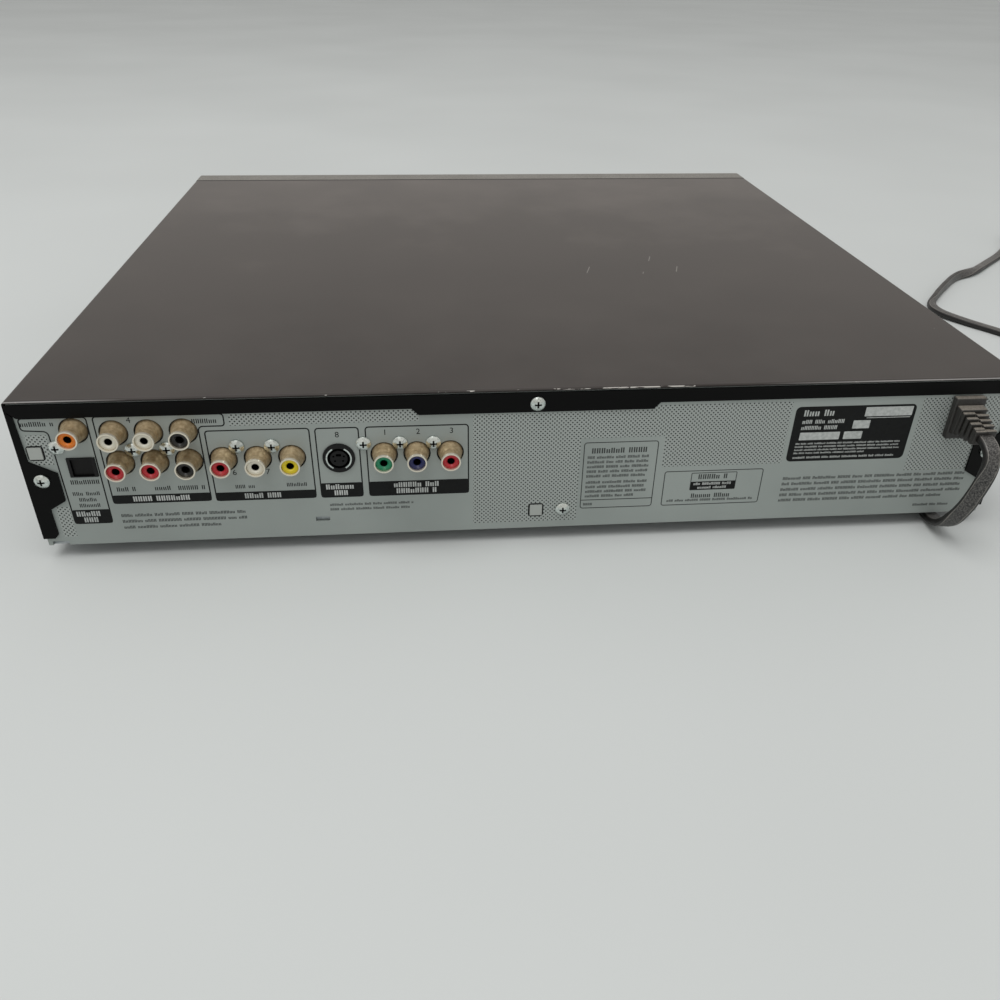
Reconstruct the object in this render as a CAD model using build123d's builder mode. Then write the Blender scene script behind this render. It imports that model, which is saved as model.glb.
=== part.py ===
from build123d import *
import os
from math import acos, atan2, cos, degrees, hypot, pi, radians, sin, sqrt, tan

# Five-disc player and changer: a carousel on a sliding tray, in a steel cabinet.
# Front faces -Y, the floor is at 0, and all sizes are in millimetres.

# Overall size; the tips of the round jacks are the rearmost points
width = 430.0
height = 77.0
depth = 411.5
jack_reach = 9.0
foot_height = 7.0
front_y = -depth / 2
rear_y = depth / 2 - jack_reach
half = width / 2

# Clearances
fit = 0.3  # between faces that move past each other
bearing = 0.05  # radial, of shafts and pins in their bores
seam = 0.6  # visible line between neighbouring casings

# Sheet metal and the moulded front
sheet = 1.0
cover_sheet = 0.9
fascia_depth = 18.5
fascia_wall = 2.5
fascia_base = 5.0
fascia_step = 0.8  # drawer front and buttons stand proud of the front by this
fascia_y = front_y + fascia_step
fascia_back = fascia_y + fascia_depth

# Carousel
disc_radius = 60.0
pocket_count = 5
pocket_play = 1.5
pocket_ring = 108.0
pocket_radius = disc_radius + pocket_play
small_disc_radius = 41.0
small_disc_step = 0.8
table_edge = 3.5
table_radius = pocket_ring + pocket_radius + table_edge
table_y = -4.0
table_under = 54.5
table_floor = 2.5
pocket_depth = 4.0
table_top = table_under + table_floor + pocket_depth
hub_radius = 12.0
post_radius = 5.0
spindle_y = table_y + pocket_ring

# Gear teeth: stub depth, 20 degree flanks, thinned for backlash
pressure = radians(20)
addendum = 0.8
dedendum = 1.0
backlash = 0.12
table_module = 2.5
table_teeth = 134
table_pinion_teeth = 14
table_gear_height = 4.2
loading_module = 1.5
rack_gear_teeth = 20
belt_pinion_teeth = 14
sled_module = 1.0
sled_teeth = 16

# Tray and drawer front
tray_margin = 9.0  # of the tray past the carousel, at each side
tray_half = table_radius + tray_margin
tray_z = 46.0
tray_plate = 3.0
tray_rear = table_y + table_radius + 5.0
tray_travel = 230.0
tray_wall = 2.0
tray_wall_height = 9.0
drawer_half = tray_half + 1.4
drawer_low = 41.8
drawer_high = 71.3
drawer_thick = 8.0
rack_x = 117.0
rack_depth = 3.8

# Loading deck
rail_inside = tray_half - 4.0  # the tray's edge runs in a groove of the rail
rail_width = 14.0
rail_low = 20.0
rail_high = 54.0
rail_rear = 136.0
rail_front = fascia_back + 2.4
deck_plate_low = 27.0
deck_plate_high = 31.0
deck_plate_rear = -118.0
tub_half = 70.0
tub_wall = 2.0
tub_front = 12.0
tub_rear = 158.0
tub_low = 12.0
tub_high = 44.0

# Optical unit, written at rest with the lift down
lift_travel = 20.0
disc_z = 62.2
turntable_z = disc_z - lift_travel
turntable_radius = 14.0
frame_half = 59.0
frame_front = 20.0
frame_rear = 142.0
frame_wall = 5.0
frame_low = 16.0
frame_high = 27.0
plate_half = 52.0
plate_front = 28.0
plate_rear = 134.0
plate_high = 32.5
plate_sheet = 1.2
plate_low = plate_high - plate_sheet
motor_radius = 13.0
rod_x = 27.0
rod_radius = 1.5
rod_z = 26.0
pickup_y = spindle_y - 24.0
pickup_travel = 34.0
lens_half = 14.0
lens_reach = 8.0
cam_travel = 30.0
cam_pin_radius = 2.0
cam_pin_z = 19.5
cam_pin_ys = (52.0, 118.0)
cam_x = tub_half - 2.4
cam_thick = 2.0
guide_radius = 2.5
guide_x = 40.0
guide_y = 145.5

# Clamp bridge over the carousel
bridge_z = 66.5
bridge_sheet = 1.2
bridge_width = 40.0
bridge_half = rail_inside + 8.0
bridge_lip = 3.0
clamper_radius = 15.0

# Jacks on the rear panel: how far in from the panel's end on the +X side, and how high
jack_rows = {
    "digital": [(24.5, 63.0)],
    "channels": [(x, z) for z in (61.5, 47.5) for x in (40.0, 54.0, 68.0)],
    "line": [(82.2, 47.7), (96.4, 47.7), (110.7, 47.7)],
    "component": [(149.6, 47.7), (163.6, 47.7), (177.9, 47.7)],
}
jacks = [(half - x, z) for row in jack_rows.values() for x, z in row]
jack_hole = 5.9
barrel_base = 5.4
barrel_tip = 4.15
barrel_taper = 4.5
barrel_bore = 3.6
pin_hole = 1.6
insert_sink = 0.7
housing_depth = 11.7
s_video = (half - 130.3, 46.7)
s_video_radius = 6.85
optical = (half - 24.2, 45.9)
optical_width = 11.3
optical_height = 9.0
optical_cavity = 8.6
flap_thick = 0.8
board_z = 38.0
board_thick = 1.6

# Screws
screw_head = 3.15
screw_head_height = 2.1
screw_shank = 1.4
screw_length = 8.0
jack_screws = [
    (16.0, 55.6), (46.2, 53.6), (60.1, 53.7), (88.4, 53.8),
    (102.9, 53.6), (141.1, 53.5), (156.6, 53.3), (170.8, 53.0),
]
low_screw = (-13.3, 16.8)
rear_screw_places = [(half - x, z) for x, z in jack_screws] + [low_screw]
video_screw = rear_screw_places[5]
cover_screw_z = 70.5
tab_screw = (half - 6.9, 40.4)

# Front controls, seen from the front: x to the right
button_travel = 0.8
button_gap = 0.25
board_front_y = fascia_back - 3.6
beside_drawer = half - drawer_half  # where the power button stands
power_size = 0.348 * beside_drawer
power_x = -(drawer_half + 0.51 * beside_drawer)
buttons = {
    "power_button": (power_x, 58.0, power_size, power_size),
    "open_close_button": (half - 105.0, 31.0, 22.0, 7.0),
    "exchange_button": (half - 75.0, 31.0, 22.0, 7.0),
    "disc_skip_button": (half - 45.0, 31.0, 22.0, 7.0),
    "play_button": (half - 105.0, 18.0, 22.0, 8.0),
    "pause_button": (half - 75.0, 18.0, 22.0, 8.0),
    "stop_button": (half - 45.0, 18.0, 22.0, 8.0),
}
for number in range(1, pocket_count + 1):
    buttons[f"disc_{number}_button"] = (25.0 - half + 20.0 * number, 18.0, 14.0, 6.0)
window_half = 60.0
window_low = 14.0
window_high = 36.0

# Power cord: flat two-core lead, its route chosen by hand along the floor
cord_width = 7.0
cord_thick = 3.5
cord_low = cord_thick / 2 + 0.2
gland = (23.5 - half, 58.6)
gland_flange = (14.0, 20.0, 3.3)
gland_neck = (9.6, 15.6)
boot_length = 21.0
boot_drop = 6.0  # degrees
boot_start = (gland[0], rear_y + gland_flange[2], gland[1])
cord_exit = (
    boot_start[0],
    boot_start[1] + boot_length * cos(radians(boot_drop)),
    boot_start[2] - boot_length * sin(radians(boot_drop)),
)
cord_first = 6.6
cord_route = [
    cord_exit,
    (cord_exit[0], cord_exit[1] + cord_first * cos(radians(boot_drop)),
     cord_exit[2] - cord_first * sin(radians(boot_drop))),
    (gland[0] + 0.2, rear_y + 33.65, 49.8),
    (gland[0] + 0.7, rear_y + 31.35, 41.3),
    (gland[0] + 1.3, rear_y + 26.65, 30.8),
    (gland[0] + 1.7, rear_y + 22.65, 18.0),
    (gland[0] + 2.3, rear_y + 14.25, 6.6),
    (-189.6, 197.0, cord_low),
    (-191.5, 180.0, cord_low),
    (-197.0, 158.0, cord_low),
    (-210.0, 138.0, cord_low),
    (-232.0, 124.0, cord_low),
    (-268.0, 114.0, cord_low),
    (-316.0, 96.0, cord_low),
    (-358.0, 66.0, cord_low),
    (-382.0, 22.0, cord_low),
    (-374.0, -20.0, cord_low),
    (-349.0, -46.0, cord_low),
    (-331.0, -66.0, cord_low),
    (-335.0, -90.0, cord_low),
    (-361.0, -116.0, cord_low),
    (-396.0, -146.0, cord_low),
    (-440.0, -180.0, cord_low),
    (-480.0, -222.0, cord_low),
    (-508.0, -258.0, cord_low),
]

# Coil of the length that is put away: two layers, in and out again by half turns
coil_inner = 27.5
coil_pitch = cord_width + 0.6
coil_half_turns = 4
coil_rise = cord_thick + 1.0
coil_tail = 26.0
plug_body = (24.0, 20.0, 2 * (cord_low + coil_rise))
blade = (17.0, 6.35, 1.5)
blade_spacing = 12.7

os.makedirs("parts", exist_ok=True)


def at_x(x):
    return Plane.YZ.offset(x)


def at_y(y):
    return Plane.XZ.offset(-y)


def at_z(z):
    return Plane.XY.offset(z)


# A block between two corners, in the builder that is open
def block(x0, x1, y0, y1, z0, z1, mode=Mode.ADD):
    with Locations(((x0 + x1) / 2, (y0 + y1) / 2, (z0 + z1) / 2)):
        Box(x1 - x0, y1 - y0, z1 - z0, mode=mode)


# An upright cylinder from its foot to its top
def post(x, y, radius, z0, z1, mode=Mode.ADD):
    with Locations((x, y, (z0 + z1) / 2)):
        Cylinder(radius, z1 - z0, mode=mode)


def involute(angle):
    return tan(angle) - angle


# Outline of a spur gear with one tooth centred at the angle turn, in degrees
def gear_outline(teeth, module, turn, centre=(0, 0), steps=2):
    pitch_radius = module * teeth / 2
    base = pitch_radius * cos(pressure)
    tip = pitch_radius + addendum * module
    root = pitch_radius - dedendum * module
    half = pi / 2 / teeth - backlash / 2 / pitch_radius + involute(pressure)
    start = max(base, root)
    radii = [start + (tip - start) * i / steps for i in range(steps + 1)]
    flank = [(r, half - involute(acos(min(1, base / r)))) for r in radii]
    if root < base:
        flank.insert(0, (root, flank[0][1]))
    points = []
    for tooth in range(teeth):
        middle = radians(turn) + 2 * pi * tooth / teeth
        around = [(r, middle - a) for r, a in flank] + [(r, middle + a) for r, a in reversed(flank)]
        points += [(centre[0] + r * cos(a), centre[1] + r * sin(a)) for r, a in around]
    return points


# Outline of a rack along Y, with a tooth centred at tooth_y; side is where its teeth point
def rack_outline(module, pitch_x, side, back, low_y, high_y, tooth_y):
    pitch = pi * module
    half = pitch / 4 - backlash / 2
    tip_half = half - addendum * module * tan(pressure)
    root_half = half + dedendum * module * tan(pressure)
    tip_x = pitch_x + side * addendum * module
    root_x = pitch_x - side * dedendum * module
    first = int((low_y - tooth_y) / pitch) + 1
    last = int((high_y - tooth_y) / pitch)
    points = [(root_x - side * back, low_y), (root_x, low_y)]
    for k in range(first, last):
        y = tooth_y + k * pitch
        points += [(root_x, y - root_half), (tip_x, y - tip_half)]
        points += [(tip_x, y + tip_half), (root_x, y + root_half)]
    return points + [(root_x, high_y), (root_x - side * back, high_y)]


def save(piece, name):
    piece.part.label = name
    export_step(piece.part, f"parts/{name}.step")


# CABINET
floor_z = foot_height + sheet
wall_x = width / 2 - cover_sheet - 0.2
chassis_front = fascia_back + 1.0
chassis_rear = rear_y - sheet - 0.1
chassis_mid = (chassis_front + chassis_rear) / 2
feet_places = [(side * (half - 55.0), y) for side in (-1, 1) for y in (front_y + 55.75, rear_y - 41.75)]
foot_radius = 14.5
foot_stud = 3.0
standoffs = [(side * x, y) for side in (-1, 1) for x in (84.0, 168.0) for y in (-14.0, 128.0)]
standoff_z = 14.0
side_wall_high = 24.0
front_wall_high = 38.0
rear_wall_high = 22.0

with BuildPart() as chassis:
    with BuildSketch(at_z(foot_height)):
        with Locations((0, chassis_mid)):
            Rectangle(2 * wall_x, chassis_rear - chassis_front)
        with Locations(*feet_places):
            Circle(foot_stud + 0.1, mode=Mode.SUBTRACT)
        for side in (-1, 1):
            with Locations((side * 120, -80)):
                with GridLocations(0, 9, 1, 5):
                    SlotOverall(44, 3, mode=Mode.SUBTRACT)
    extrude(amount=sheet)
    for side in (-1, 1):
        inner, outer = sorted((side * wall_x, side * (wall_x - sheet)))
        block(inner, outer, chassis_front, chassis_rear, floor_z, side_wall_high)
    block(-wall_x, wall_x, chassis_front, chassis_front + sheet, floor_z, front_wall_high)
    block(-wall_x, wall_x, chassis_rear - sheet, chassis_rear, floor_z, rear_wall_high)
    for x, y in standoffs:
        post(x, y, 3.5, floor_z, standoff_z)
    with BuildSketch(at_y(rear_y)):
        with Locations(rear_screw_places[-1]):
            Circle(screw_shank + bearing)
    extrude(amount=2 * screw_length, mode=Mode.SUBTRACT)
save(chassis, "chassis")

with BuildPart() as foot:
    with BuildSketch(Plane.XZ):
        with BuildLine():
            Polyline(
                (0, 0.9), (foot_radius - 5, 0.9), (foot_radius - 4.5, 0), (foot_radius - 1, 0),
                (foot_radius, 1.2), (foot_radius - 1.5, foot_height), (foot_stud, foot_height),
                (foot_stud, floor_z + 1), (0, floor_z + 1), close=True,
            )
        make_face()
    revolve(axis=Axis.Z)

with BuildPart() as feet:
    with Locations(*[(x, y, 0) for x, y in feet_places]):
        add(foot.part)
save(feet, "feet")

# Rear panel: holes for every jack, the gland and the screws
panel_half = wall_x
panel_top = height - cover_sheet - 0.1
notch_x = (half - 10.0, half - 3.0)
notch_high = 9.0
peg = 5.5
peg_rise = 0.5
peg_places = [(half - 7.1, 53.1), (-1.2, 16.6)]
lip_slot = (half - 120.8, 15.8, 6.2, 2.4)
with BuildPart() as rear_panel:
    with BuildSketch(at_y(rear_y)):
        with Locations((0, (foot_height + panel_top) / 2)):
            Rectangle(2 * panel_half, panel_top - foot_height)
        for side in (-1, 1):
            with Locations((side * sum(notch_x) / 2, foot_height)):
                Rectangle(notch_x[1] - notch_x[0], 2 * (notch_high - foot_height), mode=Mode.SUBTRACT)
        with Locations(*jacks):
            Circle(jack_hole, mode=Mode.SUBTRACT)
        with Locations(s_video):
            Circle(s_video_radius + 0.1, mode=Mode.SUBTRACT)
        with Locations(optical):
            Rectangle(optical_width + 0.2, optical_height + 0.2, mode=Mode.SUBTRACT)
        with Locations(gland):
            Rectangle(gland_neck[0] + 0.4, gland_neck[1] + 0.4, mode=Mode.SUBTRACT)
        with Locations(lip_slot[:2]):
            Rectangle(*lip_slot[2:], mode=Mode.SUBTRACT)
        with Locations(*rear_screw_places, (0, cover_screw_z), tab_screw, (-tab_screw[0], tab_screw[1])):
            Circle(screw_shank + bearing, mode=Mode.SUBTRACT)
    extrude(amount=sheet)
    with BuildSketch(at_y(rear_y)):
        with Locations(*peg_places):
            Rectangle(peg, peg)
    extrude(amount=-peg_rise)
save(rear_panel, "rear_panel")

# Top cover: a folded hood whose rear edge and side tabs lap over the rear panel
cover_rear = rear_y + cover_sheet
cover_front = fascia_back + seam
cover_low = 11.0
flange_edge = 69.4
flange_drop = 66.4
flange_step = (53.0, 50.0)
cover_corner = 1.6
cover_fold = 1.2
tab_outline = [
    (0, 72.6), (2.6, 70.2), (3.3, 49.2), (13.7, 43.5), (13.7, 30.0),
    (6.5, 25.7), (6.7, 12.8), (5.0, cover_low), (0, cover_low),
]
with BuildPart() as top_cover:
    with BuildSketch(at_y(cover_rear)) as hood:
        with BuildLine():
            inside = half - cover_sheet
            under = height - cover_sheet
            Polyline(
                (-half, cover_low), (-half, height), (half, height), (half, cover_low),
                (inside, cover_low), (inside, under), (-inside, under), (-inside, cover_low), close=True,
            )
        make_face()
        fillet(hood.vertices().group_by(Axis.Y)[-1], cover_corner)
    extrude(amount=cover_rear - cover_front)
    with BuildSketch(at_y(cover_rear)):
        with BuildLine():
            top = height - cover_corner
            Polyline(
                (-half, top), (half, top), (half, 73.2), (half - 3, 70.4), (half - 4, flange_edge),
                (flange_step[0], flange_edge), (flange_step[1], flange_drop),
                (-flange_step[1], flange_drop), (-flange_step[0], flange_edge),
                (4 - half, flange_edge), (3 - half, 70.4), (-half, 73.2), close=True,
            )
        make_face()
        with BuildLine():
            tab = [(half - x, z) for x, z in tab_outline]
            Polyline(*tab, close=True)
        make_face()
        with BuildLine():
            Polyline(*[(-x, z) for x, z in tab], close=True)
        make_face()
        with Locations((0, cover_screw_z), tab_screw, (-tab_screw[0], tab_screw[1])):
            Circle(screw_shank + 0.3, mode=Mode.SUBTRACT)
    extrude(amount=cover_sheet)
    with BuildSketch(at_x(-half - 1)):
        with BuildLine():
            flat_y, flat_z = cover_rear - cover_fold, height - cover_fold
            reach = cover_fold * sqrt(0.5)
            ThreePointArc((flat_y, height), (flat_y + reach, flat_z + reach), (cover_rear, flat_z))
            Polyline((cover_rear, flat_z), (cover_rear + 1, flat_z), (cover_rear + 1, height + 1),
                     (flat_y, height + 1), (flat_y, height))
        make_face()
    extrude(amount=width + 2, mode=Mode.SUBTRACT)
save(top_cover, "top_cover")

screw_side = 0.8
screw_cross = (3.0, 0.8, 1.1)
crown_rise = screw_head_height - screw_side
crown = (crown_rise**2 + screw_head**2) / 2 / crown_rise
crown_mid = screw_head_height - crown + sqrt(crown**2 - screw_head**2 / 4)
with BuildPart() as screw:
    with BuildSketch(Plane.XY):
        with BuildLine():
            Polyline((0, screw_head_height), (0, -screw_length), (screw_shank, -screw_length),
                     (screw_shank, 0), (screw_head, 0), (screw_head, screw_side))
            ThreePointArc((screw_head, screw_side), (screw_head / 2, crown_mid), (0, screw_head_height))
        make_face()
    revolve(axis=Axis.Y)
    with BuildSketch(Plane.XZ.offset(-screw_head_height)):
        Rectangle(screw_cross[0], screw_cross[1])
        Rectangle(screw_cross[1], screw_cross[0])
    extrude(amount=screw_cross[2], mode=Mode.SUBTRACT)

with BuildPart() as rear_screws:
    with Locations(*[(x, rear_y, z) for x, z in rear_screw_places]):
        add(screw.part)
save(rear_screws, "rear_screws")

with BuildPart() as cover_screws:
    with Locations((0, cover_rear, cover_screw_z), (tab_screw[0], cover_rear, tab_screw[1]),
                   (-tab_screw[0], cover_rear, tab_screw[1])):
        add(screw.part)
save(cover_screws, "cover_screws")

# FRONT
drawer_gap = 0.6
inner_face = fascia_y + fascia_wall
window_ledge = 1.2
with BuildPart() as front_panel:
    block(-half, half, fascia_y, fascia_back, fascia_base, height)
    fillet(front_panel.edges().filter_by(Axis.X).group_by(Axis.Y)[0], 2.2)
    fillet(front_panel.edges().filter_by(Axis.Z).group_by(Axis.Y)[0], 1.2)
    offset(amount=-fascia_wall, openings=front_panel.faces().sort_by(Axis.Y)[-1])
    with BuildSketch(at_y(fascia_y)):
        with Locations((0, (drawer_low + drawer_high) / 2)):
            RectangleRounded(2 * (drawer_half + drawer_gap), drawer_high - drawer_low + 2 * drawer_gap, 1)
        for x, z, wide, tall in buttons.values():
            with Locations((x, z)):
                if wide == tall:
                    Circle(wide / 2 + button_gap)
                else:
                    RectangleRounded(wide + 2 * button_gap, tall + 2 * button_gap, 1.5)
        with Locations((0, (window_low + window_high) / 2)):
            Rectangle(2 * (window_half - window_ledge), window_high - window_low - 2 * window_ledge)
    extrude(amount=-2 * fascia_wall, both=True, mode=Mode.SUBTRACT)
    with BuildSketch(at_y(fascia_y)):
        with Locations((0, (window_low + window_high) / 2)):
            Rectangle(2 * (window_half + 0.1), window_high - window_low + 0.2)
    extrude(amount=-fascia_wall * 0.6, both=True, mode=Mode.SUBTRACT)
save(front_panel, "front_panel")

with BuildPart() as display_window:
    with BuildSketch(at_y(fascia_y)):
        with Locations((0, (window_low + window_high) / 2)):
            Rectangle(2 * window_half, window_high - window_low)
    extrude(amount=-fascia_wall * 0.6)
    chamfer(display_window.edges().group_by(Axis.Y)[0], 0.4)
save(display_window, "display_window")

switch_height = 4.0
plunger = 1.0
stem_end = board_front_y - switch_height - plunger - button_travel - 0.1
with BuildPart() as front_board:
    with BuildSketch(at_y(board_front_y)):
        with Locations((0, 23.5)):
            Rectangle(2 * (half - 7), 29)
        with Locations((power_x, 51)):
            Rectangle(0.54 * beside_drawer, 28)
    extrude(amount=-board_thick)
    for x, z, wide, tall in buttons.values():
        block(x - 3, x + 3, board_front_y - switch_height, board_front_y, z - 3, z + 3)
        with BuildSketch(at_y(board_front_y - switch_height)):
            with Locations((x, z)):
                Rectangle(3, 3)
        extrude(amount=plunger)
save(front_board, "front_board")

with BuildPart() as display_tube:
    block(-52, 52, board_front_y - 8.4, board_front_y - 0.3, 15, 35)
    chamfer(display_tube.edges().group_by(Axis.Y)[0], 1)
    for x in (-47.5, 47.5):
        block(x - 1.5, x + 1.5, board_front_y - 0.3, board_front_y, 22, 28)
save(display_tube, "display_tube")

collar = 1.2
collar_thick = 1.2
for name, (x, z, wide, tall) in buttons.items():
    with BuildPart() as button:
        with BuildSketch(at_y(front_y)):
            with Locations((x, z)):
                if wide == tall:
                    Circle(wide / 2)
                else:
                    RectangleRounded(wide, tall, 1.5 - button_gap)
        extrude(amount=front_y - inner_face - fit - collar_thick)
        chamfer(button.edges().group_by(Axis.Y)[0], 0.5)
        with BuildSketch(at_y(inner_face + fit)):
            with Locations((x, z)):
                Rectangle(wide + 2 * collar, tall + 2 * collar)
        extrude(amount=-collar_thick)
        with BuildSketch(at_y(inner_face + fit)):
            with Locations((x, z)):
                Rectangle(4, 3)
        extrude(amount=inner_face + fit - stem_end)
    save(button, name)

# TRAY
tray_top = tray_z + tray_plate
table_pitch = table_module * table_teeth / 2
table_pinion_pitch = table_module * table_pinion_teeth / 2
pinion_turn = 45.0
pinion_reach = table_pitch + table_pinion_pitch
pinion_x = pinion_reach * cos(radians(pinion_turn))
pinion_y = table_y + pinion_reach * sin(radians(pinion_turn))
pinion_tip = table_pinion_pitch + addendum * table_module
gear_low = table_under - table_gear_height
window_x = frame_half + 3.0
window_y = (frame_front - 3.0, guide_y + 8.0)
drawer_back = front_y + drawer_thick
wall_radius = table_radius + 1.5
track_radius = 151.0
rack_pitch = pi * loading_module
gear_y = -160.0
with BuildPart() as tray:
    with BuildSketch(at_z(tray_z)):
        with BuildLine():
            Polyline(
                (-tray_half, drawer_back), (tray_half, drawer_back), (tray_half, tray_rear - 12),
                (tray_half - 12, tray_rear), (12 - tray_half, tray_rear), (-tray_half, tray_rear - 12),
                close=True,
            )
        make_face()
    extrude(amount=tray_plate)
    with BuildSketch(at_z(tray_top)):
        with Locations((0, table_y)):
            Circle(wall_radius + tray_wall)
            Circle(wall_radius, mode=Mode.SUBTRACT)
    extrude(amount=tray_wall_height)
    with BuildSketch(at_z(tray_top)):
        with Locations((0, table_y)):
            Circle(track_radius + tray_wall)
            Circle(track_radius, mode=Mode.SUBTRACT)
    extrude(amount=table_under - tray_top - fit)
    post(pinion_x, pinion_y, pinion_tip + 2, tray_top, tray_top + tray_wall_height + 1, mode=Mode.SUBTRACT)
    block(-window_x, window_x, window_y[0], window_y[1], tray_z - 1, tray_top + 20, mode=Mode.SUBTRACT)
    post(0, table_y, post_radius, tray_top, table_top + fit)
    post(pinion_x, pinion_y, 3.2, tray_z, tray_top, mode=Mode.SUBTRACT)
    with BuildSketch(at_z(tray_z - rack_depth)):
        with BuildLine():
            first, last = gear_y - 12, gear_y + tray_travel + 12
            rack = rack_outline(loading_module, rack_x, -1, 3.0, first, last, gear_y)
            Polyline(*rack, close=True)
        make_face()
    extrude(amount=rack_depth)
    for side in (-1, 1):
        inner, outer = sorted((side * 60, side * 140))
        block(inner, outer, drawer_back, drawer_back + 2.5, tray_top, tray_top + 16)
save(tray, "tray")

with BuildPart() as drawer_front:
    block(-drawer_half, drawer_half, front_y, drawer_back, drawer_low, drawer_high)
    fillet(drawer_front.edges().filter_by(Axis.X).group_by(Axis.Y)[0], 2.0)
    fillet(drawer_front.edges().filter_by(Axis.Z).group_by(Axis.Y)[0], 1.0)
    offset(amount=-2.4, openings=drawer_front.faces().sort_by(Axis.Y)[-1])
    for x in (-135, -65, 65, 135):
        block(x - 1, x + 1, front_y + 2.0, drawer_back, drawer_low + 2, drawer_high - 2)
save(drawer_front, "drawer_front")

with BuildPart() as table_cap:
    with BuildSketch(Plane.XZ):
        with BuildLine():
            low = table_top + fit
            Polyline((0, low), (10, low), (11, low + 0.6), (9, low + 1.7), (3, low + 1.7),
                     (2.4, low + 1), (0, low + 1), close=True)
        make_face()
    revolve(axis=Axis.Z)
table_cap_part = Pos(0, table_y, 0) * table_cap.part
table_cap_part.label = "table_cap"
export_step(table_cap_part, "parts/table_cap.step")

motor_case = 12.0
table_motor_low = 32.0
with BuildPart() as table_motor:
    post(pinion_x, pinion_y, motor_case, table_motor_low, tray_z)
    chamfer(table_motor.edges().group_by(Axis.Z)[0], 1.2)
    post(pinion_x, pinion_y, 3.0, tray_z, tray_top + 0.5)
    post(pinion_x, pinion_y, 1.0, tray_top, table_under - fit - 0.2)
save(table_motor, "table_motor")

# Carousel with five pockets, a toothed rim below them and a hub on the tray's post
slot_half = lens_half + 3.0
slot_inner = 40.0
spoke = [90.0 + 360.0 / pocket_count * k for k in range(pocket_count)]
with BuildPart() as carousel:
    with BuildSketch(at_z(table_under)):
        with Locations((0, table_y)):
            Circle(table_radius)
    extrude(amount=table_top - table_under)
    chamfer(carousel.edges().group_by(Axis.Z)[-1], 0.8)
    with BuildSketch(at_z(table_under)):
        with BuildLine():
            Polyline(*gear_outline(table_teeth, table_module, pinion_turn, (0, table_y), steps=1), close=True)
        make_face()
        with Locations((0, table_y)):
            Circle(table_pitch - table_module - 4, mode=Mode.SUBTRACT)
    extrude(amount=-table_gear_height)
    with BuildSketch(at_z(table_top)):
        with Locations((0, table_y)):
            with PolarLocations(pocket_ring, pocket_count, start_angle=90):
                Circle(pocket_radius)
    extrude(amount=-pocket_depth, mode=Mode.SUBTRACT)
    with BuildSketch(at_z(table_top - pocket_depth)):
        with Locations((0, table_y)):
            with PolarLocations(pocket_ring, pocket_count, start_angle=90):
                Circle(small_disc_radius)
    extrude(amount=-small_disc_step, mode=Mode.SUBTRACT)
    with BuildSketch(at_z(table_top)):
        with Locations((0, table_y)):
            with PolarLocations(pocket_ring, pocket_count, start_angle=90):
                Circle(turntable_radius + 7)
            with PolarLocations((pocket_ring + slot_inner) / 2, pocket_count, start_angle=90):
                Rectangle(pocket_ring - slot_inner, 2 * slot_half)
    extrude(amount=table_under - table_top, mode=Mode.SUBTRACT)
    post(0, table_y, hub_radius, tray_top + fit, table_under)
    post(0, table_y, post_radius + bearing, tray_top, table_top, mode=Mode.SUBTRACT)
save(carousel, "carousel")

with BuildPart() as table_gear:
    with BuildSketch(at_z(gear_low + 0.2)):
        with BuildLine():
            mesh_turn = pinion_turn + 180 + 180 / table_pinion_teeth
            teeth = gear_outline(table_pinion_teeth, table_module, mesh_turn, (pinion_x, pinion_y))
            Polyline(*teeth, close=True)
        make_face()
        with Locations((pinion_x, pinion_y)):
            Circle(1.0 + bearing, mode=Mode.SUBTRACT)
    extrude(amount=table_gear_height - fit - 0.2)
save(table_gear, "table_gear")

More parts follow.
